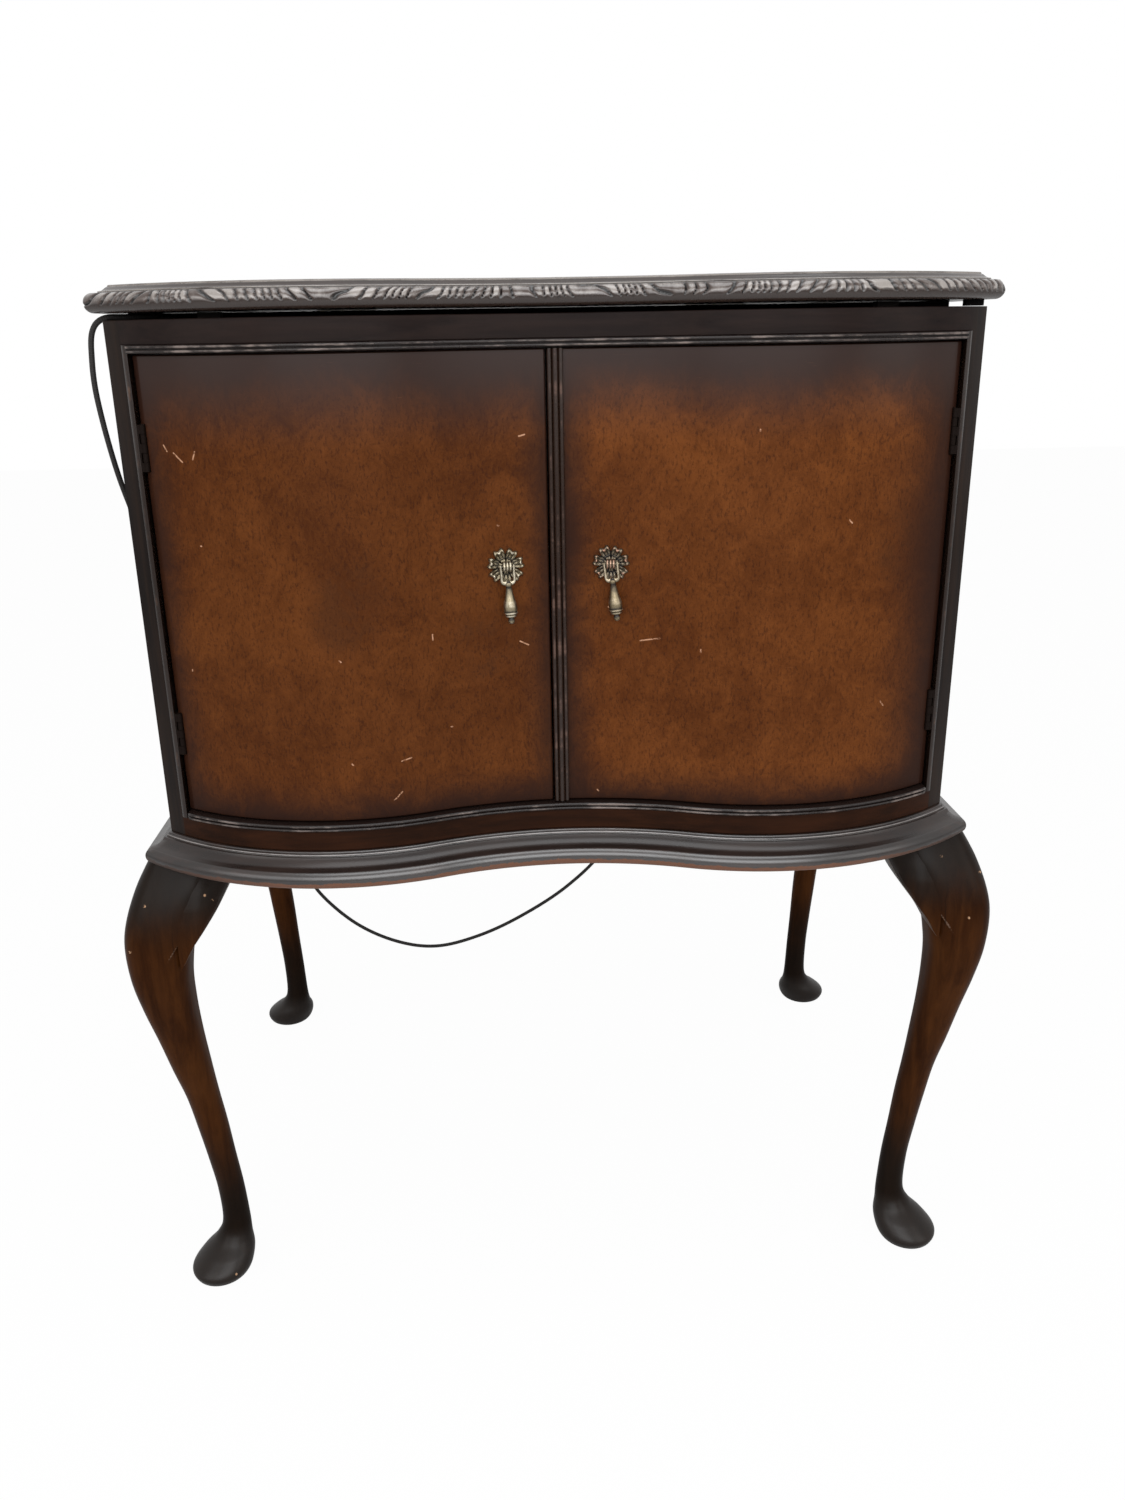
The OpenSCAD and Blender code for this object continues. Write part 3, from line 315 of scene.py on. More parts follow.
THREADS_ROUND = 4
TURNS_PER_METRE = 330.0
braid = Finish("flex_braid", Roughness=0.75, Specular_IOR_Level=0.25)
flex_uv = braid.here("UV")
threads_round = braid.axis("X", flex_uv) * (THREADS_ROUND / (2 * math.pi * FLEX_R * MM))
threads_along = braid.axis("Y", flex_uv) * TURNS_PER_METRE
strands = (threads_round + threads_along).wave() * (threads_round - threads_along).wave()
braid.settle(Base_Color=braid.blend((0.012, 0.011, 0.011, 1), (0.035, 0.032, 0.03, 1), strands * 0.5 + 0.5),
             Normal=braid.bump(strands, 0.0002, 0.6))
flex_steps = (len(flex_route) - 1) * BRAID_STEPS
flex_line = [through(flex_route, k / BRAID_STEPS) for k in range(flex_steps + 1)]
flex_rings = []
for k, spot in enumerate(flex_line):
    heading = flex_line[min(k + 1, flex_steps)] - flex_line[max(k - 1, 0)]
    flex_rings.append(disc_ring(spot, heading, FLEX_R, BRAID_ROUND))
flex = piece("mains_flex", lofted(flex_rings), braid, "case", ("flex",), 60)
flex_length = sum((b - a).length for a, b in zip(flex_line, flex_line[1:])) * MM

black_rubber = Finish("black_rubber", Base_Color=(0.012, 0.011, 0.01, 1), Roughness=0.42,
                      Specular_IOR_Level=0.4)
rubber_marks = black_rubber.grain((900, 900, 900), 3.0)
black_rubber.settle(Normal=black_rubber.bump(rubber_marks, 0.0001, 0.3),
                    Roughness=rubber_marks * 0.2 + 0.34)
sleeve_turned = ((715.6, 5.6), (717, 5.6), (718, 4.7), (724, 4.4), (725, 4.0), (731, 3.7), (732, 3.3),
                 (738, 3.0), (739, 2.6), (744, 2.3), (744.4, 2.1))
sleeve_rings = [disc_ring(flex_route[0][:2] + (z,), (0, 0, 1), r, 24) for z, r in sleeve_turned]
sleeve = piece("flex_sleeve", lofted(sleeve_rings), black_rubber, "case")

PLUG_X, PLUG_Y, PLUG_Z = 66, FRONT_Y + 382, 459
PIN_APART = 12
plug_turned = ((0, 3.2), (0.6, 5.8), (3, 7.2), (6, 8.2), (9, 10.2), (12, 11.6), (14, 12.2), (15.4, 11.4),
               (16.2, 11.6), (17.4, 12.7), (25, 12.8), (26, 12.2))
pin_turned = ((25.5, 2.2), (38, 2.2), (40.5, 1.9), (41.8, 0.9))


def beside_plug(turned, away, count):
    """Rings of a shape turned on an axis along the plug, from (how far along, radius)."""
    return [disc_ring((PLUG_X - d, PLUG_Y + away, PLUG_Z), (-1, 0, 0), r, count) for d, r in turned]


old_nickel = Finish("old_nickel", Metallic=1.0)
tarnish = old_nickel.grain((60, 60, 60), 5.0, 0.65)
old_nickel.settle(
    Base_Color=old_nickel.blend((0.50, 0.47, 0.42, 1), (0.24, 0.21, 0.17, 1), tarnish.rise(0.45, 0.75)),
    Roughness=tarnish * 0.35 + 0.12)
plug = piece("flex_plug_body", lofted(beside_plug(plug_turned, 0, 40)), black_rubber, "case",
             ("flex_plug",))
pin_shapes = [lofted(beside_plug(pin_turned, away, 20)) for away in (-PIN_APART / 2, PIN_APART / 2)]
plug_pins = piece("flex_plug_pins", pin_shapes, old_nickel, "case")
tuple(c * MM for c in flex_route[0])
[p * MM for p in flex_line]

# ---- case ----
# A carcass of stained boards: straight sides, a serpentine rail above and below the doors, corner stiles
# with a curved face, and a plain back. The polish is nearly black, and the bare wood behind is brown.
HALF_WIDTH = 305.0
BACK_Y = 237.75
CASE_LOW, CASE_TOP = 434.0, 809.0
BOW_DEPTH, WAIST_DEPTH, BOW_X = 50.0, 22.0, 167.0
BOW_R = ((HALF_WIDTH - BOW_X) ** 2 + BOW_DEPTH ** 2) / (2 * BOW_DEPTH)
BOW_BACK = BOW_R - BOW_DEPTH
WAIST_BACK = BOW_BACK + WAIST_DEPTH
WAIST_R = (BOW_X ** 2 + WAIST_BACK ** 2 - BOW_R ** 2) / (2 * (BOW_R - WAIST_BACK))


def front_at(x, out=0.0):
    """Depth of the serpentine front at x, for a face that stands out from it by some millimetres."""
    meet = BOW_X - (BOW_R + out) * BOW_X / (BOW_R + WAIST_R)
    if abs(x) < meet:
        return FRONT_Y - WAIST_DEPTH - WAIST_R + math.sqrt((WAIST_R - out) ** 2 - x * x)
    return FRONT_Y + BOW_BACK - math.sqrt((BOW_R + out) ** 2 - (abs(x) - BOW_X) ** 2)


def stained(name, dark, light, stretch, roughness, sheen, coat, worn=None):
    """Stained and polished wood, grained along the smallest factor of stretch. Its crests may carry a painted
    highlight.
    """
    finish = Finish(name, Specular_IOR_Level=sheen, Coat_Weight=coat, Coat_Roughness=0.22)
    pores = finish.grain(stretch, 8.0, 0.62)
    cloud = finish.grain((7, 7, 7), 4.0, 0.6)
    colour = finish.blend(dark, light, (pores * 0.7 + cloud * 0.6).rise(0.42, 0.92))
    # worn, when given, is a pale colour painted on the crests as a painted highlight
    if worn:
        painted_highlight = finish.relief() * 0.6 + finish.grain((30, 60, 60), 5.0, 0.7) * 0.7
        colour = finish.blend(colour, worn, painted_highlight.rise(0.72, 0.95))
    rubs = finish.grain((120, 120, 120), 5.0, 0.7).rise(0.60, 0.78)
    return finish.settle(
        Base_Color=colour,
        Roughness=pores * 0.18 + rubs * 0.16 + (roughness - 0.08),
        Normal=finish.bump(pores, 0.00025, 0.5))


side_stain = stained(
    "side_stain", (0.006, 0.0038, 0.0032, 1), (0.020, 0.0105, 0.0065, 1), (160, 160, 9), 0.3, 0.06, 0.04)
upper_stain = stained(
    "upper_stain", (0.009, 0.0058, 0.0054, 1), (0.020, 0.0120, 0.0100, 1), (9, 90, 160), 0.3, 0.05, 0.03)
lower_stain = stained(
    "lower_stain", (0.011, 0.0040, 0.0018, 1), (0.034, 0.0110, 0.0042, 1), (9, 90, 160), 0.34, 0.04, 0.02)
back_wood = stained(
    "back_wood", (0.035, 0.018, 0.010, 1), (0.09, 0.048, 0.026, 1), (9, 90, 120), 0.55, 0.2, 0.0)


def finish_nodes(finish, *names):
    """Gives a finish to CAD pieces that keep their plain shape."""
    for name in names:
        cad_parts[name].material_slots[0].material = finish.material


EASE = 0.5


def bent_board(x0, x1, low, high, back, steps):
    """A board with the serpentine face and a straight back, its front edges eased."""
    rings = []
    for k in range(steps + 1):
        x = x0 + (x1 - x0) * k / steps
        face = front_at(x)
        rings.append([(x, back, low), (x, face + EASE, low), (x, face, low + EASE), (x, face, high - EASE),
                      (x, face + EASE, high), (x, back, high)])
    return lofted(rings)


RAIL_H, RAIL_DEEP = 16.0, 16.0
STILE_X, STILE_DEEP = 292.0, 20.0
for name, low, stain, node in (("rail_above_doors", CASE_TOP - RAIL_H, upper_stain, "top_rail"),
                               ("rail_below_doors", CASE_LOW, lower_stain, "bottom_rail")):
    rail = bent_board(-STILE_X, STILE_X, low, low + RAIL_H, FRONT_Y + RAIL_DEEP, 160)
    piece(name, rail, stain, "case", (node,))
stiles = [bent_board(x, x + HALF_WIDTH - STILE_X, CASE_LOW, CASE_TOP, FRONT_Y + STILE_DEEP, 12)
          for x in (-HALF_WIDTH, STILE_X)]
piece("stiles_at_corners", stiles, side_stain, "case", ("corner_stiles",))
finish_nodes(side_stain, "left_side", "right_side")
finish_nodes(lower_stain, "base_rails")
finish_nodes(back_wood, "back_board", "bottom_board", "deck_bearers", "horn_walls", "horn_top_boards",
             "horn_throat")

# ---- beads ----
# A bead stands proud round the door opening: two reeds, bent to the serpentine, above and below the doors,
# and one straight reed at each side. The crests above and below the doors are pale, partly worn and partly a
# painted highlight; the side beads' crests are worn, and the lower bead's ends are rounded.
BEAD_H = 5.5
BEAD_X = 287.5
BEAD_OUT = 3.5
BEAD_DEEP = -18.0
BEAD_RUNS = 220


def bead_wear_and_highlight(name, dark, worn, often):
    """Dark polish, paler where the relief is high: worn wood, on some beads also a painted highlight."""
    finish = Finish(name, Specular_IOR_Level=0.15, Coat_Weight=0.3, Coat_Roughness=0.16)
    patches = finish.grain((28, 60, 60), 6.0, 0.7)
    bare = (finish.relief() * 0.5 + patches * 0.9).rise(1.02 - often, 1.20 - often)
    return finish.settle(
        Base_Color=finish.blend(dark, worn, bare),
        Roughness=patches * 0.25 + 0.16)


# The pale grey on these crests is partly worn polish and partly a painted highlight.
bead_finish = bead_wear_and_highlight("bead_finish", (0.011, 0.0066, 0.0055, 1), (0.16, 0.125, 0.11, 1), 0.13)


def reed(low, high, deep, proud, steps):
    """A half-round across a bead: (out, place across, relief) from one edge to the other."""
    made = []
    for k in range(steps + 1):
        a = math.pi * k / steps
        across = low + (high - low) * (1 - math.cos(a)) / 2
        made.append((deep + (proud - deep) * math.sin(a), across, math.sin(a)))
    return made


def front_bead(z, reach, round_ends):
    """A bead along the serpentine at height z, as a loft of its section."""
    section = [(BEAD_DEEP, 0.0, 0)] + reed(0.0, BEAD_H * 0.46, 1.9, BEAD_OUT, 10)
    section += reed(BEAD_H * 0.5, BEAD_H, 1.9, BEAD_OUT, 10) + [(BEAD_DEEP, BEAD_H, 0)]
    rings, heights = [], []
    for k in range(BEAD_RUNS + 1):
        along = 2 * k / BEAD_RUNS - 1
        along = math.copysign(1 - (1 - abs(along)) ** 1.05, along) * reach
        left = (reach - abs(along)) / 3.0
        full = math.sqrt(max(0.0, 1 - max(0.0, 1 - left) ** 2)) if round_ends else 1.0
        ring = []
        for out, up, _ in section:
            spread = out if out < 0 else out * (0.35 + 0.65 * full)
            tall = BEAD_H / 2 + (up - BEAD_H / 2) * (0.4 + 0.6 * full)
            ring.append((along, front_at(along, spread), z + tall))
        rings.append(ring)
        heights.append([worn for _, _, worn in section])
    return lofted(rings, relief=heights)


piece("bead_above_doors", front_bead(CASE_TOP - RAIL_H - BEAD_H, BEAD_X, False), bead_finish, "case",
      ("top_bead",))
piece("bead_below_doors", front_bead(CASE_LOW + RAIL_H, BEAD_X - 0.6, True), bead_finish, "case",
      ("bottom_bead",))


def side_bead(side):
    """One reed down the side of the opening, from the stile to the door."""
    section = [(STILE_X, BEAD_DEEP, 0), (STILE_X, 0.2, 0)]
    section += [(x, out, worn) for out, x, worn in reed(STILE_X, BEAD_X, 0.3, 1.5, 8)]
    section += [(BEAD_X, 0.2, 0), (BEAD_X, BEAD_DEEP, 0)]
    levels = (CASE_LOW + RAIL_H, 510, 570, 630, 690, 750, CASE_TOP - RAIL_H)
    rings = [[(side * x, front_at(x, out), z) for x, out, _ in section] for z in levels]
    return lofted(rings, relief=[[worn for _, _, worn in section]] * len(rings))


side_bead_finish = bead_wear_and_highlight("side_bead_finish", (0.014, 0.0075, 0.0052, 1), (0.070, 0.036, 0.022, 1), 0.06)
piece("beads_beside_doors", [side_bead(-1), side_bead(1)], side_bead_finish, "case",
      ("side_beads",))

# ---- doors ----
# Two doors bent to the front's curve, faced with figured veneer that is shaded almost black at the edges. The
# right one carries a three-reed bead that covers the meeting edge.
DOOR_X = 285.3
DOOR_LOW, DOOR_HIGH = 456.5, 786.5
DOOR_OUT, DOOR_T = -3.0, 18.0
REEDS_X = 5.5                    # half the width of the reeded strip
MEET_X, MEET_GAP = -REEDS_X, 1.4
DOOR_EDGE = 0.8
BARREL_X = 281.6                 # each door is cut away beyond this round its hinge barrels
BARREL_Y = front_at(284.0, DOOR_OUT) - 1.0
BARREL_Z = (501.5, 709.5)
BARREL_LEN = 32.0
BARREL_CUT, BARREL_ROOM = 2.6, 0.3


def door(x0, x1):
    """A curved panel with eased edges, cut away in front round the barrels at its outer edge."""
    steps = 72
    line = [x0 + (x1 - x0) * k / steps for k in range(steps + 1)]
    line = sorted(line + [math.copysign(BARREL_X, x0 + x1) + k for k in (-0.001, 0.001)])

    def outline(inset, cut):
        inner = [min(max(x, x0 + inset), x1 - inset) for x in line]
        front = [(x, front_at(x, DOOR_OUT - inset)) for x in inner]
        ease = DOOR_EDGE if inset == 0 else 0.0
        front[0] = (front[0][0] + ease, front[0][1])
        front[-1] = (front[-1][0] - ease, front[-1][1])
        left = [(inner[0], front_at(inner[0], DOOR_OUT - inset - ease))]
        far = [(inner[-1], front_at(inner[-1], DOOR_OUT - inset - ease))]
        if cut:
            front, far, left = ([(x, BARREL_Y + BARREL_CUT if abs(x) > BARREL_X else y) for x, y in part]
                                for part in (front, far, left))
        back = [(x, front_at(x, DOOR_OUT - DOOR_T + inset)) for x in reversed(inner)]
        return front + far + back + left

    levels = [(DOOR_LOW, DOOR_EDGE, False), (DOOR_LOW + DOOR_EDGE, 0, False)]
    for low in BARREL_Z:
        low, high = low - BARREL_ROOM, low + BARREL_LEN + BARREL_ROOM
        levels += [(low, 0, False), (low, 0, True), (high, 0, True), (high, 0, False)]
    levels += [(DOOR_LOW + (DOOR_HIGH - DOOR_LOW) * part, 0, False) for part in (0.5, 0.75)]
    levels += [(DOOR_HIGH - DOOR_EDGE, 0, False), (DOOR_HIGH, DOOR_EDGE, False)]
    levels.sort(key=lambda level: level[0])
    return lofted([[(x, y, z) for x, y in outline(inset, cut)] for z, inset, cut in levels])


def veneer(name, x0, x1, shading, light, scratches, stains):
    """Mottled golden-brown figure, shaded darker towards the door's four edges, with a scratched polish."""
    finish = Finish(name, Specular_IOR_Level=0.05, Coat_Roughness=0.3)
    x, z = finish.mm("X"), finish.mm("Z")
    cloud = finish.grain((9, 9, 9), 3.0, 0.55, 0.4)
    mottle = finish.grain((34, 34, 28), 8.0, 0.74, 1.2)
    burr = finish.grain((105, 105, 80), 7.0, 0.78, 2.2)
    speck = finish.grain((620, 620, 260), 4.0, 0.65)
    fleck = finish.grain((260, 260, 330), 5.0, 0.75, 1.5)
    foot, top = z - DOOR_LOW, DOOR_HIGH - z
    uneven = (mottle - 0.5) * 26.0 + (cloud - 0.5) * 22.0
    sides = (x - x0 + uneven * 0.7).rise(-6.0, shading[0]) * (x1 - x + uneven * 0.7).rise(-6.0, shading[1])
    glow = sides * (foot + uneven).rise(-4.0, 36.0) * (top + uneven).rise(8.0, 66.0)
    tone = (cloud * 0.3 + mottle * 0.3 + burr * 0.25 + fleck * 0.15).rise(0.38, 0.62)
    heart = finish.blend([c * light for c in (0.054, 0.0142, 0.0026)] + [1],
                         [c * light for c in (0.116, 0.0345, 0.0070)] + [1], tone)
    heart = finish.blend(heart, (0.022, 0.0060, 0.0020, 1), speck.rise(0.50, 0.66) * 0.5)
    heart = finish.blend(heart, (0.030, 0.0085, 0.0028, 1), fleck.rise(0.54, 0.66) * 0.45)
    stained_there = finish.marks(stains, 34.0) * mottle.rise(0.42, 0.62)
    heart = finish.blend(heart, (0.036, 0.0125, 0.0045, 1), stained_there * 0.5)
    colour = finish.blend((0.021, 0.0083, 0.0052, 1), heart, glow)
    scratched = finish.marks(scratches, 0.7) * fleck.rise(0.40, 0.52)
    colour = finish.blend(colour, (0.50, 0.27, 0.16, 1), scratched * 0.9)
    hairs = finish.grain((24, 24, 420), 5.0, 0.7, 3.0).rise(0.66, 0.72)
    hairs = hairs * finish.grain((12, 12, 12), 2.0).rise(0.5, 0.62)
    return finish.settle(
        Base_Color=finish.blend(colour, (0.20, 0.080, 0.030, 1), hairs * 0.35),
        Roughness=speck * 0.15 + mottle * 0.12 + 0.26,
        Coat_Weight=(70.0 - top).rise(0.0, 70.0) * 0.35 + 0.02,
        Normal=finish.bump(speck + burr * 0.6, 0.00010, 0.35))


def on_door(*strokes):
    """Strokes across and up a door's face as pairs of places on it."""
    return [((x0, front_at(x0, DOOR_OUT), z0), (x1, front_at(x1, DOOR_OUT), z1))
            for x0, z0, x1, z1 in strokes]


left_scratches = on_door(
    (-269, 728, -267, 724), (-262, 723, -256, 717), (-246, 724, -248, 719), (-26, 729, -22, 730),
    (-119, 500, -112, 502), (-126, 470, -120, 476), (-82, 522, -81, 522), (-250, 660, -249, 660),
    (-158, 579, -157, 578), (-92, 593, -92, 589), (-155, 501, -154, 500), (-29, 583, -23, 580),
    (-268, 569, -268, 568), (-43, 668, -42, 668))
left_stains = on_door((-48, 578, -50, 590), (-152, 608, -146, 630))
right_scratches = on_door(
    (27, 464, 28, 463), (36, 607, 39, 605), (138, 732, 138, 731), (204, 669, 206, 667),
    (102, 577, 102, 575), (238, 533, 241, 529), (59, 582, 73, 584))
right_stains = on_door((250, 640, 252, 660))
left_veneer = veneer(
    "left_veneer", -DOOR_X, MEET_X - MEET_GAP, (28.0, 26.0), 1.0, left_scratches, left_stains)
right_veneer = veneer(
    "right_veneer", REEDS_X, DOOR_X, (28.0, 62.0), 1.2, right_scratches, right_stains)
piece("left_door", door(-DOOR_X, MEET_X - MEET_GAP), left_veneer, "left_door",
      ("left_door_panel",))
piece("right_door", door(MEET_X, DOOR_X), right_veneer, "right_door", ("right_door_panel",))


def meeting_reeds():
    """Three reeds side by side on a strip, the middle one fullest."""
    face = front_at(MEET_X, DOOR_OUT) - 0.1
    section = [(REEDS_X, 0.0, 0)]
    for first, last, proud in ((REEDS_X, 2.2, 2.9), (2.2, -2.2, 4.2), (-2.2, -REEDS_X, 2.9)):
        section += [(x, out, worn) for out, x, worn in reed(first, last, 1.3, proud, 8)]
    section.append((-REEDS_X, 0.0, 0))
    levels = [DOOR_LOW + (DOOR_HIGH - DOOR_LOW) * k / 8 for k in range(9)]
    rings = [[(x, face - out, z) for x, out, _ in section] for z in levels]
    return lofted(rings, relief=[[worn for _, _, worn in section]] * len(rings))


meeting_finish = bead_wear_and_highlight("meeting_finish", (0.018, 0.0085, 0.0052, 1), (0.095, 0.052, 0.038, 1), 0.10)
piece("meeting_reeds", meeting_reeds(), meeting_finish, "right_door", ("meeting_bead",))

# ---- base moulding ----
# A moulding mitred round the foot of the case: two fillets, a hollow that sweeps out and a round nose turned
# under. It is glossy but for the hollow, its fillets carry thin pale grey painted highlights, and its lower
# edge is worn bare.
LEG_TOP = 410.0
BASE_OUT = 20.0
NOSE_R, FILLET_R = 7.0, 0.9
HOLLOW_LOW, HOLLOW_HIGH = 13.6, 20.3
BASE_RUNS = 300
SIDE_SHARE, FRONT_SHARE = 0.28, 0.44         # of the way round, for each side and for the front


def three_sides(share, out, back=BACK_Y):
    """A place on the case's outline moved outwards, from the back left round the front to the back right."""
    edge = HALF_WIDTH + out
    corner = front_at(edge, out)
    if share < SIDE_SHARE:
        return (-edge, back + (corner - back) * share / SIDE_SHARE)
    if share > SIDE_SHARE + FRONT_SHARE:
        return (edge, corner + (back - corner) * (share - SIDE_SHARE - FRONT_SHARE) / SIDE_SHARE)
    x = (2 * (share - SIDE_SHARE) / FRONT_SHARE - 1) * edge
    return (x, front_at(x, out))


def round_part(centre, radius, first, last, steps):
    """An arc in a section, from one angle to another in degrees."""
    made = []
    for k in range(steps + 1):
        a = math.radians(first + (last - first) * k / steps)
        made.append((centre[0] + radius * math.cos(a), centre[1] + radius * math.sin(a)))
    return made


def run_round(sections, low, back=BACK_Y):
    """A loft round the case's sides and front through sections of (out, up, relief), evenly spaced."""
    rings, marks = [], []
    for k, section in enumerate(sections):
        ring = []
        for out, up, _ in section:
            x, y = three_sides(k / (len(sections) - 1), out, back)
            ring.append((x, y, low + up))
        rings.append(ring)
        marks.append([worn for _, _, worn in section])
    return lofted(rings, relief=marks)


plain_line = [(0, 0), (BASE_OUT - 5, 0)] + round_part((BASE_OUT - NOSE_R, NOSE_R), NOSE_R, -62, 66, 12)
plain_line += [(BASE_OUT - 8.2, 14.2), (BASE_OUT - 10.5, 15.7), (BASE_OUT - 12.4, 17.3),
               (BASE_OUT - 13.8, 18.9), (BASE_OUT - 14.6, 20.2), (3.6, 20.4)]
base_section = [(out, up, 0.2) for out, up in plain_line]
# the last column of each fillet is how strong its pale painted highlight is, round its crest
for centre, first, last, fillet_highlight in (((2.6, 21.2), -30, 80, (0.3, 0.9, 1.0, 0.9, 0.3)),
                                  ((1.2, 22.8), -20, 90, (0.1, 0.7, 0.8, 0.7, 0.1))):
    fillet = round_part(centre, FILLET_R, first, last, 4)
    base_section += [(out, up, worn) for (out, up), worn in zip(fillet, fillet_highlight)]
base_section.append((0, 24, 0.1))
base_gloss = Finish("base_gloss", Specular_IOR_Level=0.5, Coat_Roughness=0.26)
from_middle = base_gloss.mm("X").size()
streak = base_gloss.grain((12, 90, 160), 7.0, 0.65)
patch = base_gloss.grain((30, 30, 30), 6.0, 0.7)
chips = base_gloss.grain((90, 90, 90), 5.0, 0.75)
ragged = base_gloss.mm("Z") - LEG_TOP + (patch - 0.5) * 5.0 + (chips - 0.5) * 5.0
low_edge = 1.0 - ragged.rise(5.2, 6.4)
# Painted highlight: pale grey lines on the fillets' crests, where the relief is high.
painted_highlight = (base_gloss.relief() * 0.8 + patch * 0.5).rise(0.88, 1.06)
bare = low_edge * (1.0 - from_middle.rise(180.0, 320.0) * 0.85)
base_colour = base_gloss.blend((0.0085, 0.0052, 0.0042, 1), (0.022, 0.0115, 0.0085, 1), streak.rise(0.4, 0.7))
base_colour = base_gloss.blend(base_colour, (0.20, 0.18, 0.17, 1), painted_highlight)
base_colour = base_gloss.blend(base_colour, (0.125, 0.046, 0.020, 1), bare)
base_gloss.settle(Base_Color=base_colour, Roughness=patch * 0.16 + 0.22 + low_edge * 0.3,
                  Coat_Weight=(1.0 - from_middle.rise(90.0, 330.0)) * (1.0 - low_edge),
                  Normal=base_gloss.bump(streak, 0.0003, 0.4))
base = piece("base_moulding", run_round([base_section] * (BASE_RUNS + 1), LEG_TOP), base_gloss, "case",
             ("base_front_moulding", "base_side_mouldings"))
base_dull = stained(
    "base_dull", (0.008, 0.0048, 0.004, 1), (0.022, 0.012, 0.009, 1), (12, 90, 160), 0.28, 0.3, 0.2)
base.data.materials.append(base_dull.material)
for face in base.data.polygons:
    if HOLLOW_LOW < face.center.z / MM - LEG_TOP < HOLLOW_HIGH:
        face.material_index = 1

# ---- legs ----
# Four cabriole legs on club feet, sawn and shaved from thick squares. Each bends out at the knee and in again
# to a round ankle; a raised edge runs down the knee's inner faces and fades across the front.
FOOT_X, REAR_FOOT_X, FOOT_IN = 312.0, 318.0, 8.0
DIAGONAL = math.sqrt(0.5)
# height, how far out along the diagonal, half width, squareness
leg_stations = [
    (0, 3, 19.5, 2), (3, 2.5, 24, 2), (10, 1, 26.5, 2), (20, -6, 23, 2), (31, -13.2, 16, 2),
    (46, -17.3, 12.1, 2), (81, -15.9, 11.3, 2), (116, -11.5, 11.7, 2), (152, -6.6, 12.6, 2.1),
    (186, -1.2, 13.3, 2.2), (218, 5, 15.4, 2.4), (251, 10.9, 17.4, 2.6), (283, 16.3, 20.2, 2.8),
    (312, 19.1, 22.9, 3), (341, 16.7, 26.4, 2.9), (362, 10, 28.4, 3), (387, -3, 29, 3.4), (410, -14.5, 25, 4)]
# the raised edge on the knee: height, angle in degrees from the outward corner, how far it stands up
knee_edge = [(390, 118, 0.0), (381, 112, 0.8), (371, 105, 1.3), (361, 96, 1.5), (352, 85, 1.5),
             (344, 74, 1.2), (336, 64, 0.8), (328, 55, 0.4), (318, 46, 0.0)]
LEG_ROUND, LEG_LEVELS = 144, 200


def level_value(table, height, column):
    """A value from a table of rows that start with a height, straight between the rows."""
    rows = sorted(table)
    for low, high in zip(rows, rows[1:]):
        if low[0] <= height <= high[0]:
            return low[column] + (high[column] - low[column]) * (height - low[0]) / (high[0] - low[0])
    return rows[-1][column] if height > rows[-1][0] else rows[0][column]


def leg_rings():
    """Rings of the front right leg, whose outward corner points to +x and -y, and how worn they are."""
    rings, relief = [], []
    for k in range(LEG_LEVELS + 1):
        z, out, half, square = through(leg_stations, k * (len(leg_stations) - 1) / LEG_LEVELS)
        ring, marks = [], []
        lip_angle = level_value(knee_edge, z, 1)
        lip = level_value(knee_edge, z, 2)
        for j in range(LEG_ROUND):
            a = 2 * math.pi * j / LEG_ROUND
            c, s = math.cos(a), math.sin(a)
            corner = math.degrees((a + math.pi / 4 + math.pi) % (2 * math.pi) - math.pi)
            away = (abs(corner) - lip_angle) * math.radians(half)
            bump = lip * math.exp(-(away / 1.7) ** 2) - 0.55 * lip * (1 / (1 + math.exp(-away / 0.8)))
            reach = half + bump
            x = math.copysign(abs(c) ** (2 / square), c) * reach
            y = math.copysign(abs(s) ** (2 / square), s) * reach
            ring.append((out * DIAGONAL + x, y - out * DIAGONAL, z))
            marks.append(min(1.0, max(0.0, 0.4 + 0.6 * math.exp(-(away / 1.8) ** 2) * min(1.0, lip))))
        rings.append(ring)
        relief.append(marks)
    return rings, relief


def at_corner(rings, side, front):
    """Moves rings from the front right corner: side is -1 for the left, and front is -1 for the rear."""
    x, y = (FOOT_X, FRONT_Y + FOOT_IN) if front > 0 else (REAR_FOOT_X, BACK_Y - FOOT_IN)
    return [[(side * (x + p[0]), y + front * p[1], p[2]) for p in ring] for ring in rings]


leg_polish = Finish("leg_polish", Specular_IOR_Level=0.03, Coat_Roughness=0.34)
leg_z = leg_polish.mm("Z")
leg_grain = leg_polish.grain((110, 110, 9), 8.0, 0.65, 0.4)
leg_cloud = leg_polish.grain((14, 14, 8), 4.0, 0.6)
leg_wear = leg_polish.grain((60, 60, 40), 5.0, 0.7)
uneven_z = leg_z + (leg_cloud - 0.5) * 80.0
shade = uneven_z.rise(60.0, 170.0) * (1.0 - uneven_z.rise(325.0, 385.0))
leg_brown = leg_polish.blend((0.018, 0.0048, 0.0009, 1), (0.056, 0.0180, 0.0040, 1),
                             (leg_grain * 0.6 + leg_cloud * 0.5).rise(0.35, 0.75))
leg_dark = leg_polish.blend((0.0045, 0.0030, 0.0022, 1), (0.014, 0.0080, 0.0050, 1), leg_grain)
leg_colour = leg_polish.blend(leg_dark, leg_brown, shade)
leg_edge = (leg_polish.relief() * 0.8 + leg_wear * 0.5).rise(0.88, 1.06)
leg_colour = leg_polish.blend(leg_colour, (0.16, 0.105, 0.075, 1), leg_edge * 0.7)
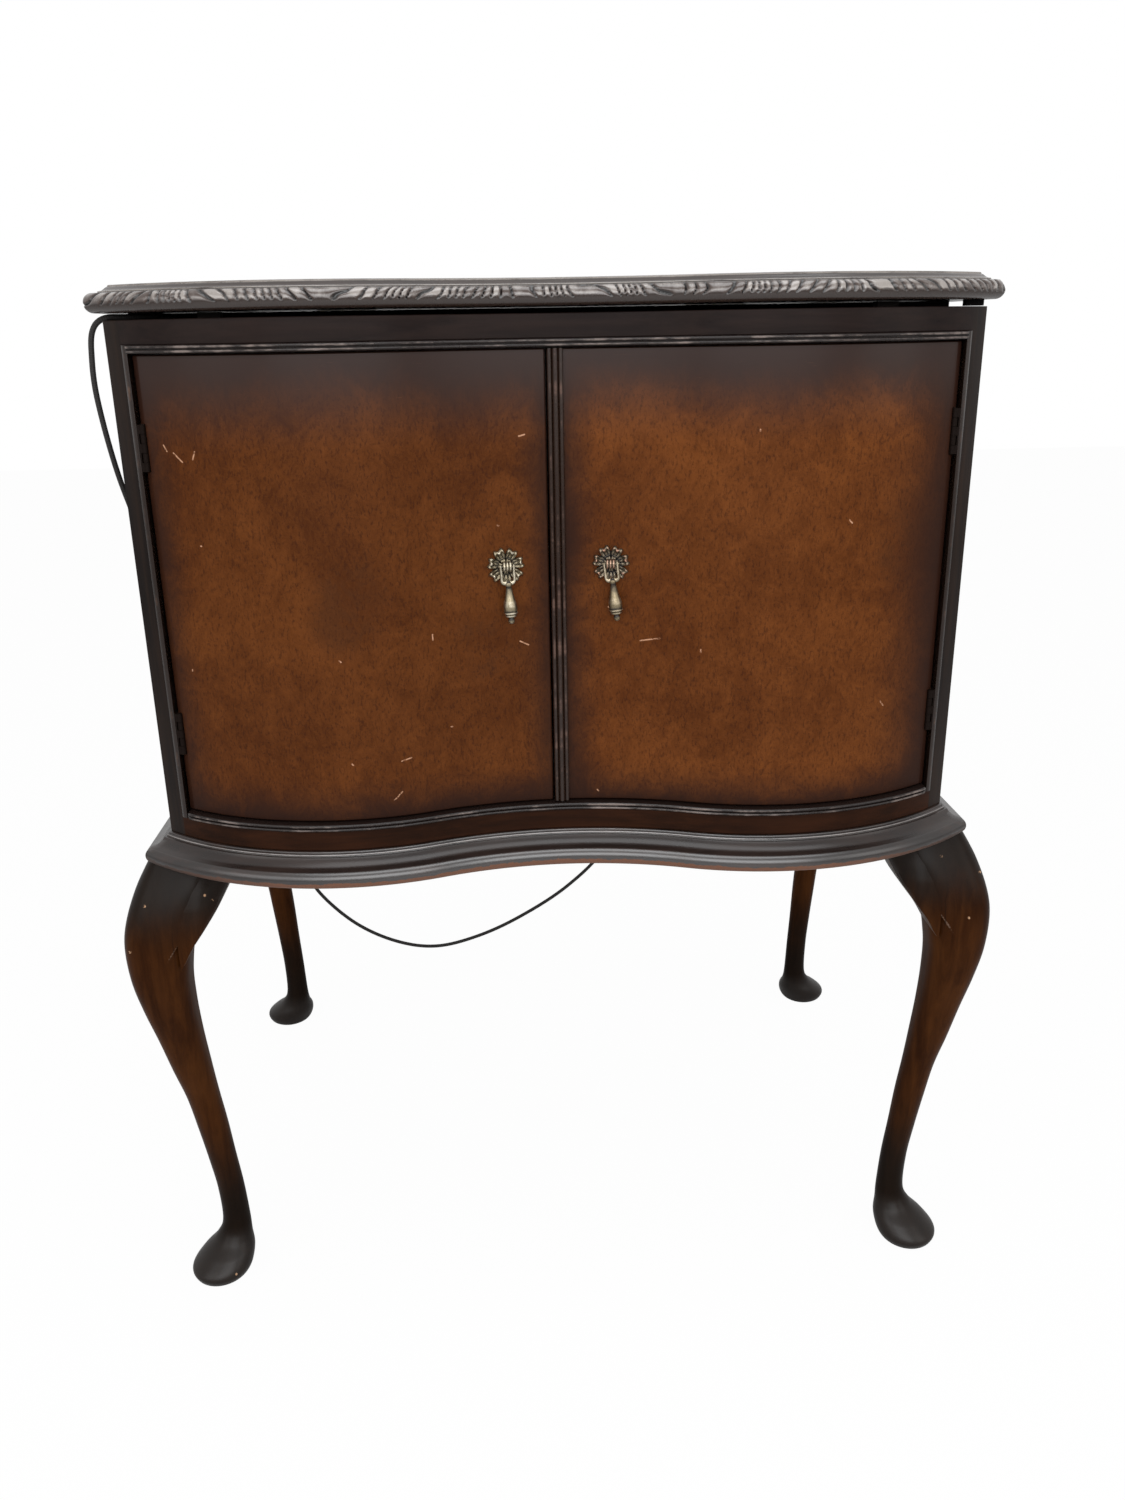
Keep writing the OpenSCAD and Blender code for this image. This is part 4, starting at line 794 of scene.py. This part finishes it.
# each chip shows where a line between these two depths crosses a leg's face
CHIP_FRONT, CHIP_BACK = -250, -185
chip_lines = [((x0, CHIP_FRONT, z0), (x1, CHIP_BACK, z1)) for x0, z0, x1, z1 in (
    (-317, 395, -339, 363), (-333, 357, -356, 322), (-271, 402, -290, 371), (-267, 398, -284, 366),
    (322, 396, 350, 365), (317, 357, 345, 322), (290, 411, 316, 381), (-286, 46, -305, -13))]
chipped = leg_polish.marks(chip_lines, 1.4) * leg_polish.grain((420, 420, 420), 3.0).rise(0.40, 0.55)
leg_colour = leg_polish.blend(leg_colour, (0.44, 0.26, 0.15, 1), chipped)
CRACK_Y, CRACK_X = -232, 307.5
crack_reach = leg_polish.marks([((-304, CRACK_Y, 399), (-311, CRACK_Y, 340)),
                                ((306, CRACK_Y, 367), (308, CRACK_Y, 339))], 9.0)
crack_x = leg_polish.mm("X").size() + (leg_polish.grain((30, 30, 30), 3.0) - 0.5) * 6.0
cracked = crack_reach * (1.0 - (crack_x - CRACK_X).size().rise(0.1, 0.7))
leg_colour = leg_polish.blend(leg_colour, (0.004, 0.002, 0.0015, 1), cracked * 0.8)
foot_gloss = (1.0 - leg_z.rise(22.0, 46.0)) * 0.42
knee_gloss = leg_z.rise(345.0, 385.0) * 0.12
leg_polish.settle(Base_Color=leg_colour, Roughness=leg_grain * 0.2 + leg_cloud * 0.12 + 0.18,
                  Coat_Weight=foot_gloss + knee_gloss,
                  Normal=leg_polish.bump(leg_grain, 0.0004, 0.45))
leg_shape, leg_marks = leg_rings()
for name, side, front in (("front_right_leg", 1, 1), ("front_left_leg", -1, 1),
                          ("rear_right_leg", 1, -1), ("rear_left_leg", -1, -1)):
    placed = at_corner(leg_shape, side, front)
    piece(name + "_shaped", lofted(placed, relief=leg_marks), leg_polish, "case", (name,), 60)

# ---- ears ----
# Shaped blocks glued in beside each knee, one across the front or back and one along the side. They carry
# the knee's line up to the rail.

# height against the leg's top, and there the ear's free edge, the knee's face or the ear's back
ear_line = [(0, -56), (-13, -51), (-27, -44.5), (-39, -38), (-52, -29), (-65, -19.5), (-77, -13), (-84, -8)]
knee_front = [(0, -12), (-10, -17.5), (-23, -25), (-35, -29.8), (-48, -33.2), (-60, -35.6), (-69, -36.6),
              (-84, -36)]
ear_back = [(0, 16), (-30, 16), (-45, 11), (-58, 4), (-70, -4), (-84, -10)]
EAR_LEVELS, EAR_ACROSS = 34, 12
EAR_ROOT, EAR_FACE = -8.0, -6.0              # where it meets the leg, and its face away from the knee
EAR_TIP, EAR_SWELL = -56.0, 34.0             # where its face starts to swell, and over how long


def ear(turned):
    """Rings of an ear by the front right leg: across the front, or turned to run along the side."""
    rings = []
    for k in range(EAR_LEVELS + 1):
        drop, edge, _ = through([place + (0,) for place in ear_line], k * (len(ear_line) - 1) / EAR_LEVELS)
        knee = level_value(knee_front, drop, 1)
        rear = level_value(ear_back, drop, 1)
        face = []
        for j in range(EAR_ACROSS + 1):
            x = edge + (EAR_ROOT - edge) * j / EAR_ACROSS
            near = max(0.0, min(1.0, (x - EAR_TIP) / EAR_SWELL))
            near = near * near * (3 - 2 * near)
            face.append((x, EAR_FACE + (knee - EAR_FACE) * near))
        face[0] = (edge + 0.1, face[0][1] + 1.1)
        face.insert(1, (edge + 0.6, face[1][1] + 0.3))
        ring = [(EAR_ROOT, rear), (edge + 0.8, rear), (edge, rear - 1.0)] + face
        rings.append([(-y, -x, LEG_TOP + drop) if turned else (x, y, LEG_TOP + drop) for x, y in ring])
    return rings


ear_marks = [[0.2, 0.2, 0.3, 0.95, 0.8] + [0.4] * EAR_ACROSS] * (EAR_LEVELS + 1)
ear_shapes = [lofted(at_corner(ear(turned), side, front), relief=ear_marks)
              for side in (-1, 1) for front in (1, -1) for turned in (False, True)]
piece("shaped_ears", ear_shapes, leg_polish, "case", ("knee_ears",), 40)

# ---- lid ----
# The lid's edge is a thick round moulding carved in low relief with leaning leaves, mitred at the front
# corners. On it lies a thinner board with a hollow edge, whose edge lines carry painted highlights. The
# carving's crests carry a pale painted highlight, and its cuts are painted black as shade. A near-black strip
# below fills the gap over the doors as painted shade.
LID_LOW = 813.5
LID_BACK = BACK_Y - 0.5
LID_DEEP = -35.0                 # how far in the edge's moulding reaches
BULL_H = 13.0
BULL_IN, BULL_REACH = 4.0, 6.0
PATH_LENGTH = 1500.0             # about as long as the carved edge is
LID_RUNS = 1500
BULL_STEPS = 30
LID_ROUND, BACK_ROUND = 400, 40


def carving(s, w):
    """(cut, relief) of the carved leaves at a distance s along the edge, w of the way up it."""
    lean = max(-1.0, min(1.0, 3.2 * math.sin(2 * math.pi * s / 236.0 + 0.9)))
    drift = noise.noise(Vector((s * 0.034, 0.3, 0.0)))
    sway = noise.noise(Vector((s * 0.055, w * 1.6, 4.0)))
    phase = s / 7.8 + drift * 2.4 + (lean * 1.6 + 1.1 * sway) * (w - 0.45)
    phase += 0.3 * lean * math.sin(math.pi * w)
    leaf = phase - math.floor(phase)
    kind = noise.noise(Vector((math.floor(phase) * 3.7, 1.1, 0.0)))
    worn = 0.66 + 0.5 * noise.noise(Vector((s * 0.021, 7.0, 0.0)))
    foot = 0.43 + 0.11 * abs(math.sin(math.pi * phase)) * (1 + 0.7 * kind)
    inside = 1 / (1 + math.exp(-(w - foot) / 0.014))
    top = 1 / (1 + math.exp(-(0.93 - w) / 0.015))
    edge_cut = math.exp(-(min(leaf, 1 - leaf) / (0.085 + 0.04 * kind)) ** 2)
    cross = s / 15.0 - lean * 2.4 * w + 2.0 * drift
    nick = math.exp(-((cross - math.floor(cross) - 0.5) / 0.07) ** 2) * max(0.0, kind) * 1.5
    crown = math.sin(math.pi * leaf) ** 0.7
    depth = inside * top * (1.6 * edge_cut + 0.7 * nick + 0.45 - 0.45 * crown) * worn
    ridge = inside * top * crown * (1 - edge_cut) * (1 - 0.6 * nick)
    # How strongly each leaf's crest gets a painted highlight; the relief also drops in the cuts, painted dark
    # as shade.
    painted_highlight = 0.45 + 1.1 * abs(noise.noise(Vector((math.floor(phase) * 7.3, w * 1.5, 3.0))))
    return depth, max(0.0, min(1.0, 0.32 + 0.68 * ridge * painted_highlight - 0.5 * inside * top * edge_cut))


def lid_section(s):
    """The carved edge's section at a distance s along it, as (out, up, relief)."""
    section = [(LID_DEEP, 0.0, 0.2), (-10.0, 0.0, 0.2), (1.0, 0.0, 0.2)]
    for j in range(BULL_STEPS + 1):
        w = j / BULL_STEPS
        a = math.radians(-86 + 166 * w)
        cut, height = carving(s, w)
        out = BULL_IN + (BULL_REACH - cut) * math.cos(a)
        section.append((out, BULL_H / 2 + (BULL_H / 2 - cut) * math.sin(a), height))
    return section + [(3.2, BULL_H - 0.7, 0.1), (1.2, BULL_H - 0.5, 0.1), (0.6, BULL_H, 0.3),
                      (LID_DEEP, BULL_H, 0.2)]


lid_sections = [lid_section((k / LID_RUNS - 0.5) * PATH_LENGTH) for k in range(LID_RUNS + 1)]
carved_finish = Finish("carved_finish", Specular_IOR_Level=0.4, Coat_Roughness=0.16)
crest = carved_finish.relief()
carve_patch = carved_finish.grain((110, 110, 60), 6.0, 0.75)
carve_run = carved_finish.grain((12, 12, 12), 3.0, 0.6)
# Painted shade: near black in the cuts. Painted highlight: pale grey on the crests, in patches.
carve_colour = carved_finish.blend((0.0035, 0.0026, 0.0024, 1), (0.040, 0.0225, 0.016, 1),
                                   crest.rise(0.05, 0.6))
carve_colour = carved_finish.blend(carve_colour, (0.25, 0.22, 0.20, 1),
                                   (crest * 0.75 + carve_patch * 0.4 + carve_run * 0.6).rise(0.92, 1.16))
carved_finish.settle(Base_Color=carve_colour, Roughness=carve_patch * 0.25 + 0.15,
                     Coat_Weight=crest.rise(0.2, 0.7) * 0.55 + 0.25,
                     Normal=carved_finish.bump(carve_patch, 0.00012, 0.4))
piece("carved_edge", run_round(lid_sections, LID_LOW, LID_BACK), carved_finish, "lid",
      ("lid_front_edge", "lid_side_edges"), 50)


def lid_outline(out, z):
    """The lid's outline moved outwards: round the sides and front, and straight across the back."""
    ring = [three_sides(k / LID_ROUND, out, LID_BACK) + (z,) for k in range(LID_ROUND + 1)]
    edge = ring[-1][0]
    return ring + [(edge * (1 - 2 * k / BACK_ROUND), LID_BACK, z) for k in range(1, BACK_ROUND)]


# The pale last colour is painted on the lines of the board's edge as painted highlights.
lid_top_polish = stained("lid_top_polish", (0.009, 0.0052, 0.004, 1), (0.030, 0.0145, 0.009, 1), (9, 70, 70),
                         0.22, 0.35, 0.4, (0.20, 0.175, 0.155, 1))
# out, up and how strong a painted highlight each line of the board's edge carries
board_steps = [(-30, 4.2, 0), (-30, 13.05, 0), (0.5, 13.05, 0.9), (0.9, 13.5, 1), (0.5, 14.0, 0.9),
               (-1.1, 14.3, 0), (-1.9, 14.6, 0), (-2.9, 15.3, 0), (-3.8, 16.1, 0), (-4.7, 16.7, 0.7),
               (-5.4, 17.0, 1), (-5.4, 17.3, 1), (-5.7, 17.8, 0.8), (-6.2, 18.0, 0.1)]
board_rings = [lid_outline(out, LID_LOW + up) for out, up, _ in board_steps]
board_highlights = [[worn] * len(board_rings[0]) for _, _, worn in board_steps]
board = lofted(board_rings, relief=board_highlights)
piece("lid_top", board, lid_top_polish, "lid", ("lid_board",), 28)

# the near-black strip that is painted shade in the lid's gap: long piece and right corner piece, middle and
# size
strip_pieces = [((-2.9, -147, 811.5), (597, 4, 4.2)), ((297, -192.5, 811.5), (13, 6, 4.0))]
gap_shade_paint = Finish("gap_shade_paint", Base_Color=(0.004, 0.003, 0.003, 1), Roughness=0.8,
                     Specular_IOR_Level=0.1)
strip = bmesh.new()
for at, size in strip_pieces:
    placed = Matrix.Translation(Vector(at) * MM) @ Matrix.Diagonal([c * MM for c in size] + [1.0])
    bmesh.ops.create_cube(strip, size=1.0, matrix=placed)
piece("lid_gap_shade_strip", strip, gap_shade_paint, "lid")

# ---- pulls ----
# Two cast drop pulls in antique brass: a leafy plate, a barrel of three rounded fingers in front of it, and a
# thick U-shaped bail on a pin, drawn out below into a bulb and a small ball. The hollows have gone black.
PULL_X, PULL_Z = 38.0, 639.0
PLATE_R, PLATE_RINGS, PLATE_ROUND = 14.0, 27, 144
LEAVES = 7
PIN_OUT, PIN_UP, PIN_R = 8.0, 1.0, 1.0
BARREL_R, FINGER_R, FINGER_X = 2.4, 1.2, 2.2
BAIL_X = 4.6
BAIL_R = 2.2
BAIL_FOOT = -10.9                # the middle of the bail's thick foot
DROP_FOOT = -41.8                # the drop's lowest point, from the pin
# the drop: up from its foot, radius and how worn it is
drop_turned = [
    (0.0, 0.5, 1), (0.5, 1.6, 1), (1.7, 2.3, 0.7), (3.0, 2.4, 0.4), (4.2, 1.9, 0), (4.7, 1.7, 0),
    (5.2, 3.2, 0.3), (5.7, 4.0, 0.9), (6.5, 4.2, 1), (7.1, 3.8, 0.3), (7.5, 4.4, 0.4), (7.9, 5.0, 1),
    (8.7, 5.1, 1), (9.1, 4.7, 0.2), (9.6, 4.7, 0.3), (11.4, 4.9, 0.7), (13.4, 4.8, 0.9), (16.4, 4.2, 0.9),
    (19.4, 3.4, 0.7), (22.4, 2.7, 0.5), (25.4, 2.2, 0.4), (27.4, 2.0, 0.2), (28.4, 2.4, 0.6),
    (29.4, 2.6, 0.8), (30.4, 2.2, 0.3), (31.4, 1.4, 0.1)]


def old_brass(name, low, high, tip):
    """Brass whose hollows have gone black, and whose tips are rubbed to another tone."""
    finish = Finish(name, Metallic=1.0)
    height = finish.relief()
    spots = finish.grain((260, 260, 260), 5.0, 0.7)
    worn = (height * 0.8 + spots * 0.5).rise(0.42, 0.80)
    tone = finish.blend(low, high, worn)
    tone = finish.blend(tone, tip, (height * 0.8 + spots * 0.4).rise(0.84, 1.05))
    return finish.settle(Base_Color=tone, Roughness=spots * 0.3 + 0.24, Metallic=worn * 0.55 + 0.45,
                         Normal=finish.bump(spots, 0.0002, 0.4))


def leaf_at(turn):
    """(part of the way across a leaf, the leaf's length, how far its tip curls) at an angle on the plate."""
    place = turn * LEAVES / (2 * math.pi) + 0.25
    leaf = int(place) % LEAVES
    length = 0.98 + 0.09 * noise.noise(Vector((leaf * 5.3, 2.0, 0.0)))
    return place % 1.0, length, 0.9 + 0.8 * noise.noise(Vector((leaf * 4.1, 9.0, 0.0)))


def plate_height(turn, part):
    """How far the leafy plate stands out at an angle, some part of the way from its middle to its rim."""
    leaf, _, over = leaf_at(turn)
    bulge = math.sin(math.pi * leaf)
    border = math.exp(-(min(leaf, 1 - leaf) / 0.09) ** 2)
    curl = math.exp(-((part - 0.86) / 0.12) ** 2)
    ring = math.exp(-((part - 0.46) / 0.07) ** 2)
    veins = math.exp(-((abs(leaf - 0.5) - 0.17) / 0.06) ** 2) * (part > 0.5)
    height = 1.5 + 2.6 * over * curl * bulge ** 0.6 - 0.7 * ring - 0.7 * veins - 1.0 * border
    if part < 0.5:
        height = max(height, 1.2 + 2.3 * math.sqrt(max(0.0, 1 - (part / 0.44) ** 2)))
    worn = 0.74 + 0.35 * curl * bulge - 0.75 * border - 0.5 * veins - 0.5 * ring
    return max(0.35, height), min(1.0, max(0.0, worn))


def pull_place(side):
    """Turns a point given across, out of and up the door at a pull into a place in the case."""
    turn = -side * math.asin(PULL_X / (WAIST_R - DOOR_OUT))
    origin = Vector((side * PULL_X, front_at(PULL_X, DOOR_OUT), PULL_Z))

    def place(across, out, up):
        return origin + Vector((across * math.cos(turn) + out * math.sin(turn),
                                across * math.sin(turn) - out * math.cos(turn), up))
    return place


def backplate(place):
    """The leafy plate, from its flat back edge in to its domed middle."""
    rings, heights = [], []
    for k in range(PLATE_RINGS):
        part = 1.0 if k < 2 else 1.0 - (k - 1) / (PLATE_RINGS - 1.8)
        ring, marks = [], []
        for turn in round_angles(PLATE_ROUND):
            leaf, long, _ = leaf_at(turn)
            border = math.exp(-(min(leaf, 1 - leaf) / 0.12) ** 2)
            rim = PLATE_R * min(1.0, long) * (1 - 0.26 * border - 0.05 * (1 + math.cos(4 * math.pi * leaf)))
            out, mark = plate_height(turn, part)
            out = -0.3 if k == 0 else (out * 0.6 if k == 1 else out)
            radius = rim * part * (0.98 if k == 0 else 1.0)
            ring.append(place(radius * math.cos(turn), out + 0.35, radius * math.sin(turn)))
            marks.append(mark)
        rings.append(ring)
        heights.append(marks)
    return lofted(rings, relief=heights)


def knuckle(place):
    """The barrel of three rounded fingers that the bail's pin goes through, on a short neck."""
    profile = [(-1.5 * FINGER_X, PIN_R + 0.06), (-1.5 * FINGER_X, BARREL_R)]
    for middle in (-FINGER_X, 0.0, FINGER_X):
        for t in (-80, -50, -20, 20, 50, 80):
            a = math.radians(t)
            profile.append((middle + FINGER_X / 2 * math.sin(a), BARREL_R + FINGER_R * math.cos(a)))
    profile += [(1.5 * FINGER_X, BARREL_R), (1.5 * FINGER_X, PIN_R + 0.06)]
    rings = []
    for a in round_angles(32) + [0.0]:
        rings.append([place(x, PIN_OUT + r * math.cos(a), PIN_UP + r * math.sin(a)) for x, r in profile])
    marks = [[0.3 + 0.7 * max(0.0, (r - BARREL_R) / FINGER_R) for _, r in profile]] * len(rings)
    neck = [[place(x * wide, out, PIN_UP + z * wide) for x, z in
             ((-1, -1), (0, -1.15), (1, -1), (1.1, 0), (1, 1), (0, 1.15), (-1, 1), (-1.1, 0))]
            for out, wide in ((2.2, 3.0), (3.6, 2.6), (5.7, 2.2))]
    return [lofted(rings, relief=marks), lofted(neck)]


def bail(place, lean):
    """The pin, the U-shaped bail that hangs on it and the drop below, which hang a few degrees askew."""
    across_lean, up_lean = math.sin(math.radians(lean)), math.cos(math.radians(lean))

    def hang(x, out, z):
        z -= PIN_UP
        return place(x * up_lean - z * across_lean, out, PIN_UP + z * up_lean + x * across_lean)

    arm = [(-BAIL_X, PIN_UP + 1.2 - k * 2.0) for k in range(5)]
    for t in range(0, 91, 15):
        a = math.radians(t)
        arm.append((-BAIL_X + BAIL_R - BAIL_R * math.cos(a), BAIL_FOOT + BAIL_R - BAIL_R * math.sin(a)))
    arm += [(-0.7, BAIL_FOOT), (0.7, BAIL_FOOT)] + [(-x, z) for x, z in reversed(arm)]
    rings = []
    for k, (x, z) in enumerate(arm):
        after, before = arm[min(k + 1, len(arm) - 1)], arm[max(k - 1, 0)]
        run = Vector((after[0] - before[0], 0, after[1] - before[1])).normalized()
        across = Vector((run.z, 0, -run.x))
        thick = 1.15 + 0.75 * math.exp(-((k - (len(arm) - 1) / 2) / 4.5) ** 2)
        ring = []
        for a in round_angles(16):
            off = across * (thick * math.cos(a)) + Vector((0, 1.35 * math.sin(a), 0))
            ring.append(hang(x + off.x, PIN_OUT + off.y, z + off.z))
        rings.append(ring)
    heights = [[0.35 + 0.65 * max(0.0, math.sin(a)) for a in round_angles(16)]] * len(rings)
    pin = [[place(x, PIN_OUT + r * math.cos(a), PIN_UP + r * math.sin(a)) for a in round_angles(16)]
           for x, r in ((-6.2, 0.7), (-6.0, PIN_R), (6.0, PIN_R), (6.2, 0.7))]
    turned = [[hang(r * math.cos(a), PIN_OUT + r * math.sin(a), PIN_UP + DROP_FOOT + up)
               for a in round_angles(32)] for up, r, _ in drop_turned]
    drop_marks = [[worn] * 32 for _, _, worn in drop_turned]
    return [lofted(rings, relief=heights), lofted(pin), lofted(turned, relief=drop_marks)]


left_brass = old_brass(
    "left_brass", (0.020, 0.015, 0.010, 1), (0.25, 0.21, 0.14, 1), (0.52, 0.47, 0.37, 1))
right_brass = old_brass(
    "right_brass", (0.014, 0.012, 0.012, 1), (0.19, 0.155, 0.11, 1), (0.42, 0.24, 0.17, 1))
right_drop_brass = old_brass(
    "right_drop_brass", (0.018, 0.013, 0.010, 1), (0.20, 0.16, 0.10, 1), (0.44, 0.37, 0.27, 1))
for side, name, brass, drop_brass, lean in ((-1, "left", left_brass, left_brass, 3.0),
                                            (1, "right", right_brass, right_drop_brass, 6.5)):
    at = pull_place(side)
    piece(name + "_rosette", [backplate(at)] + knuckle(at), brass, name + "_door",
          (name + "_backplate",), 40)
    piece(name + "_drop", bail(at, lean), drop_brass, name + "_pull", (name + "_drop_pull",), 40)

# ---- hinges, deck and record player ----
# What the doors and the closed lid hide keeps its plain construction shape: thin pressed hinges gone nearly
# black, a polished motor board, an enamelled turntable with a felt mat, and nickelled fittings.
dark_brass = Finish("dark_brass", Base_Color=(0.007, 0.004, 0.003, 1), Roughness=0.5, Specular_IOR_Level=0.04)
bright_brass = Finish("bright_brass", Metallic=1.0, Base_Color=(0.45, 0.33, 0.15, 1), Roughness=0.3)
black_enamel = Finish("black_enamel", Base_Color=(0.01, 0.01, 0.011, 1), Roughness=0.3)
steel = Finish("steel", Metallic=1.0, Base_Color=(0.45, 0.45, 0.43, 1), Roughness=0.3)
felt = Finish("felt", Base_Color=(0.03, 0.075, 0.035, 1), Roughness=0.95)
dark_felt = Finish("dark_felt", Base_Color=(0.012, 0.009, 0.007, 1), Roughness=0.95)
deck = stained("deck_polish", (0.03, 0.012, 0.006, 1), (0.09, 0.036, 0.016, 1), (9, 90, 90), 0.25, 0.3, 0.3)
finish_nodes(dark_brass, "door_hinge_plates", "left_door_hinges", "right_door_hinges")
finish_nodes(bright_brass, "lid_hinge_plates", "lid_hinge_flaps", "lid_stay", "stay_guide", "motor_bolts")
finish_nodes(black_enamel, "motor_case", "turntable")
finish_nodes(steel, "motor_plate", "spindle")
finish_nodes(felt, "turntable_mat")
finish_nodes(dark_felt, "lid_pads")
finish_nodes(deck, "motor_board", "horn_baffle", "horn_louvres")
finish_nodes(old_nickel, "tone_arm_base", "arm_rest", "needle_cups", "tone_arm", "gooseneck", "sound_box",
             "speed_knob", "brake_lever")
finish_nodes(black_rubber, "flex_grommets")
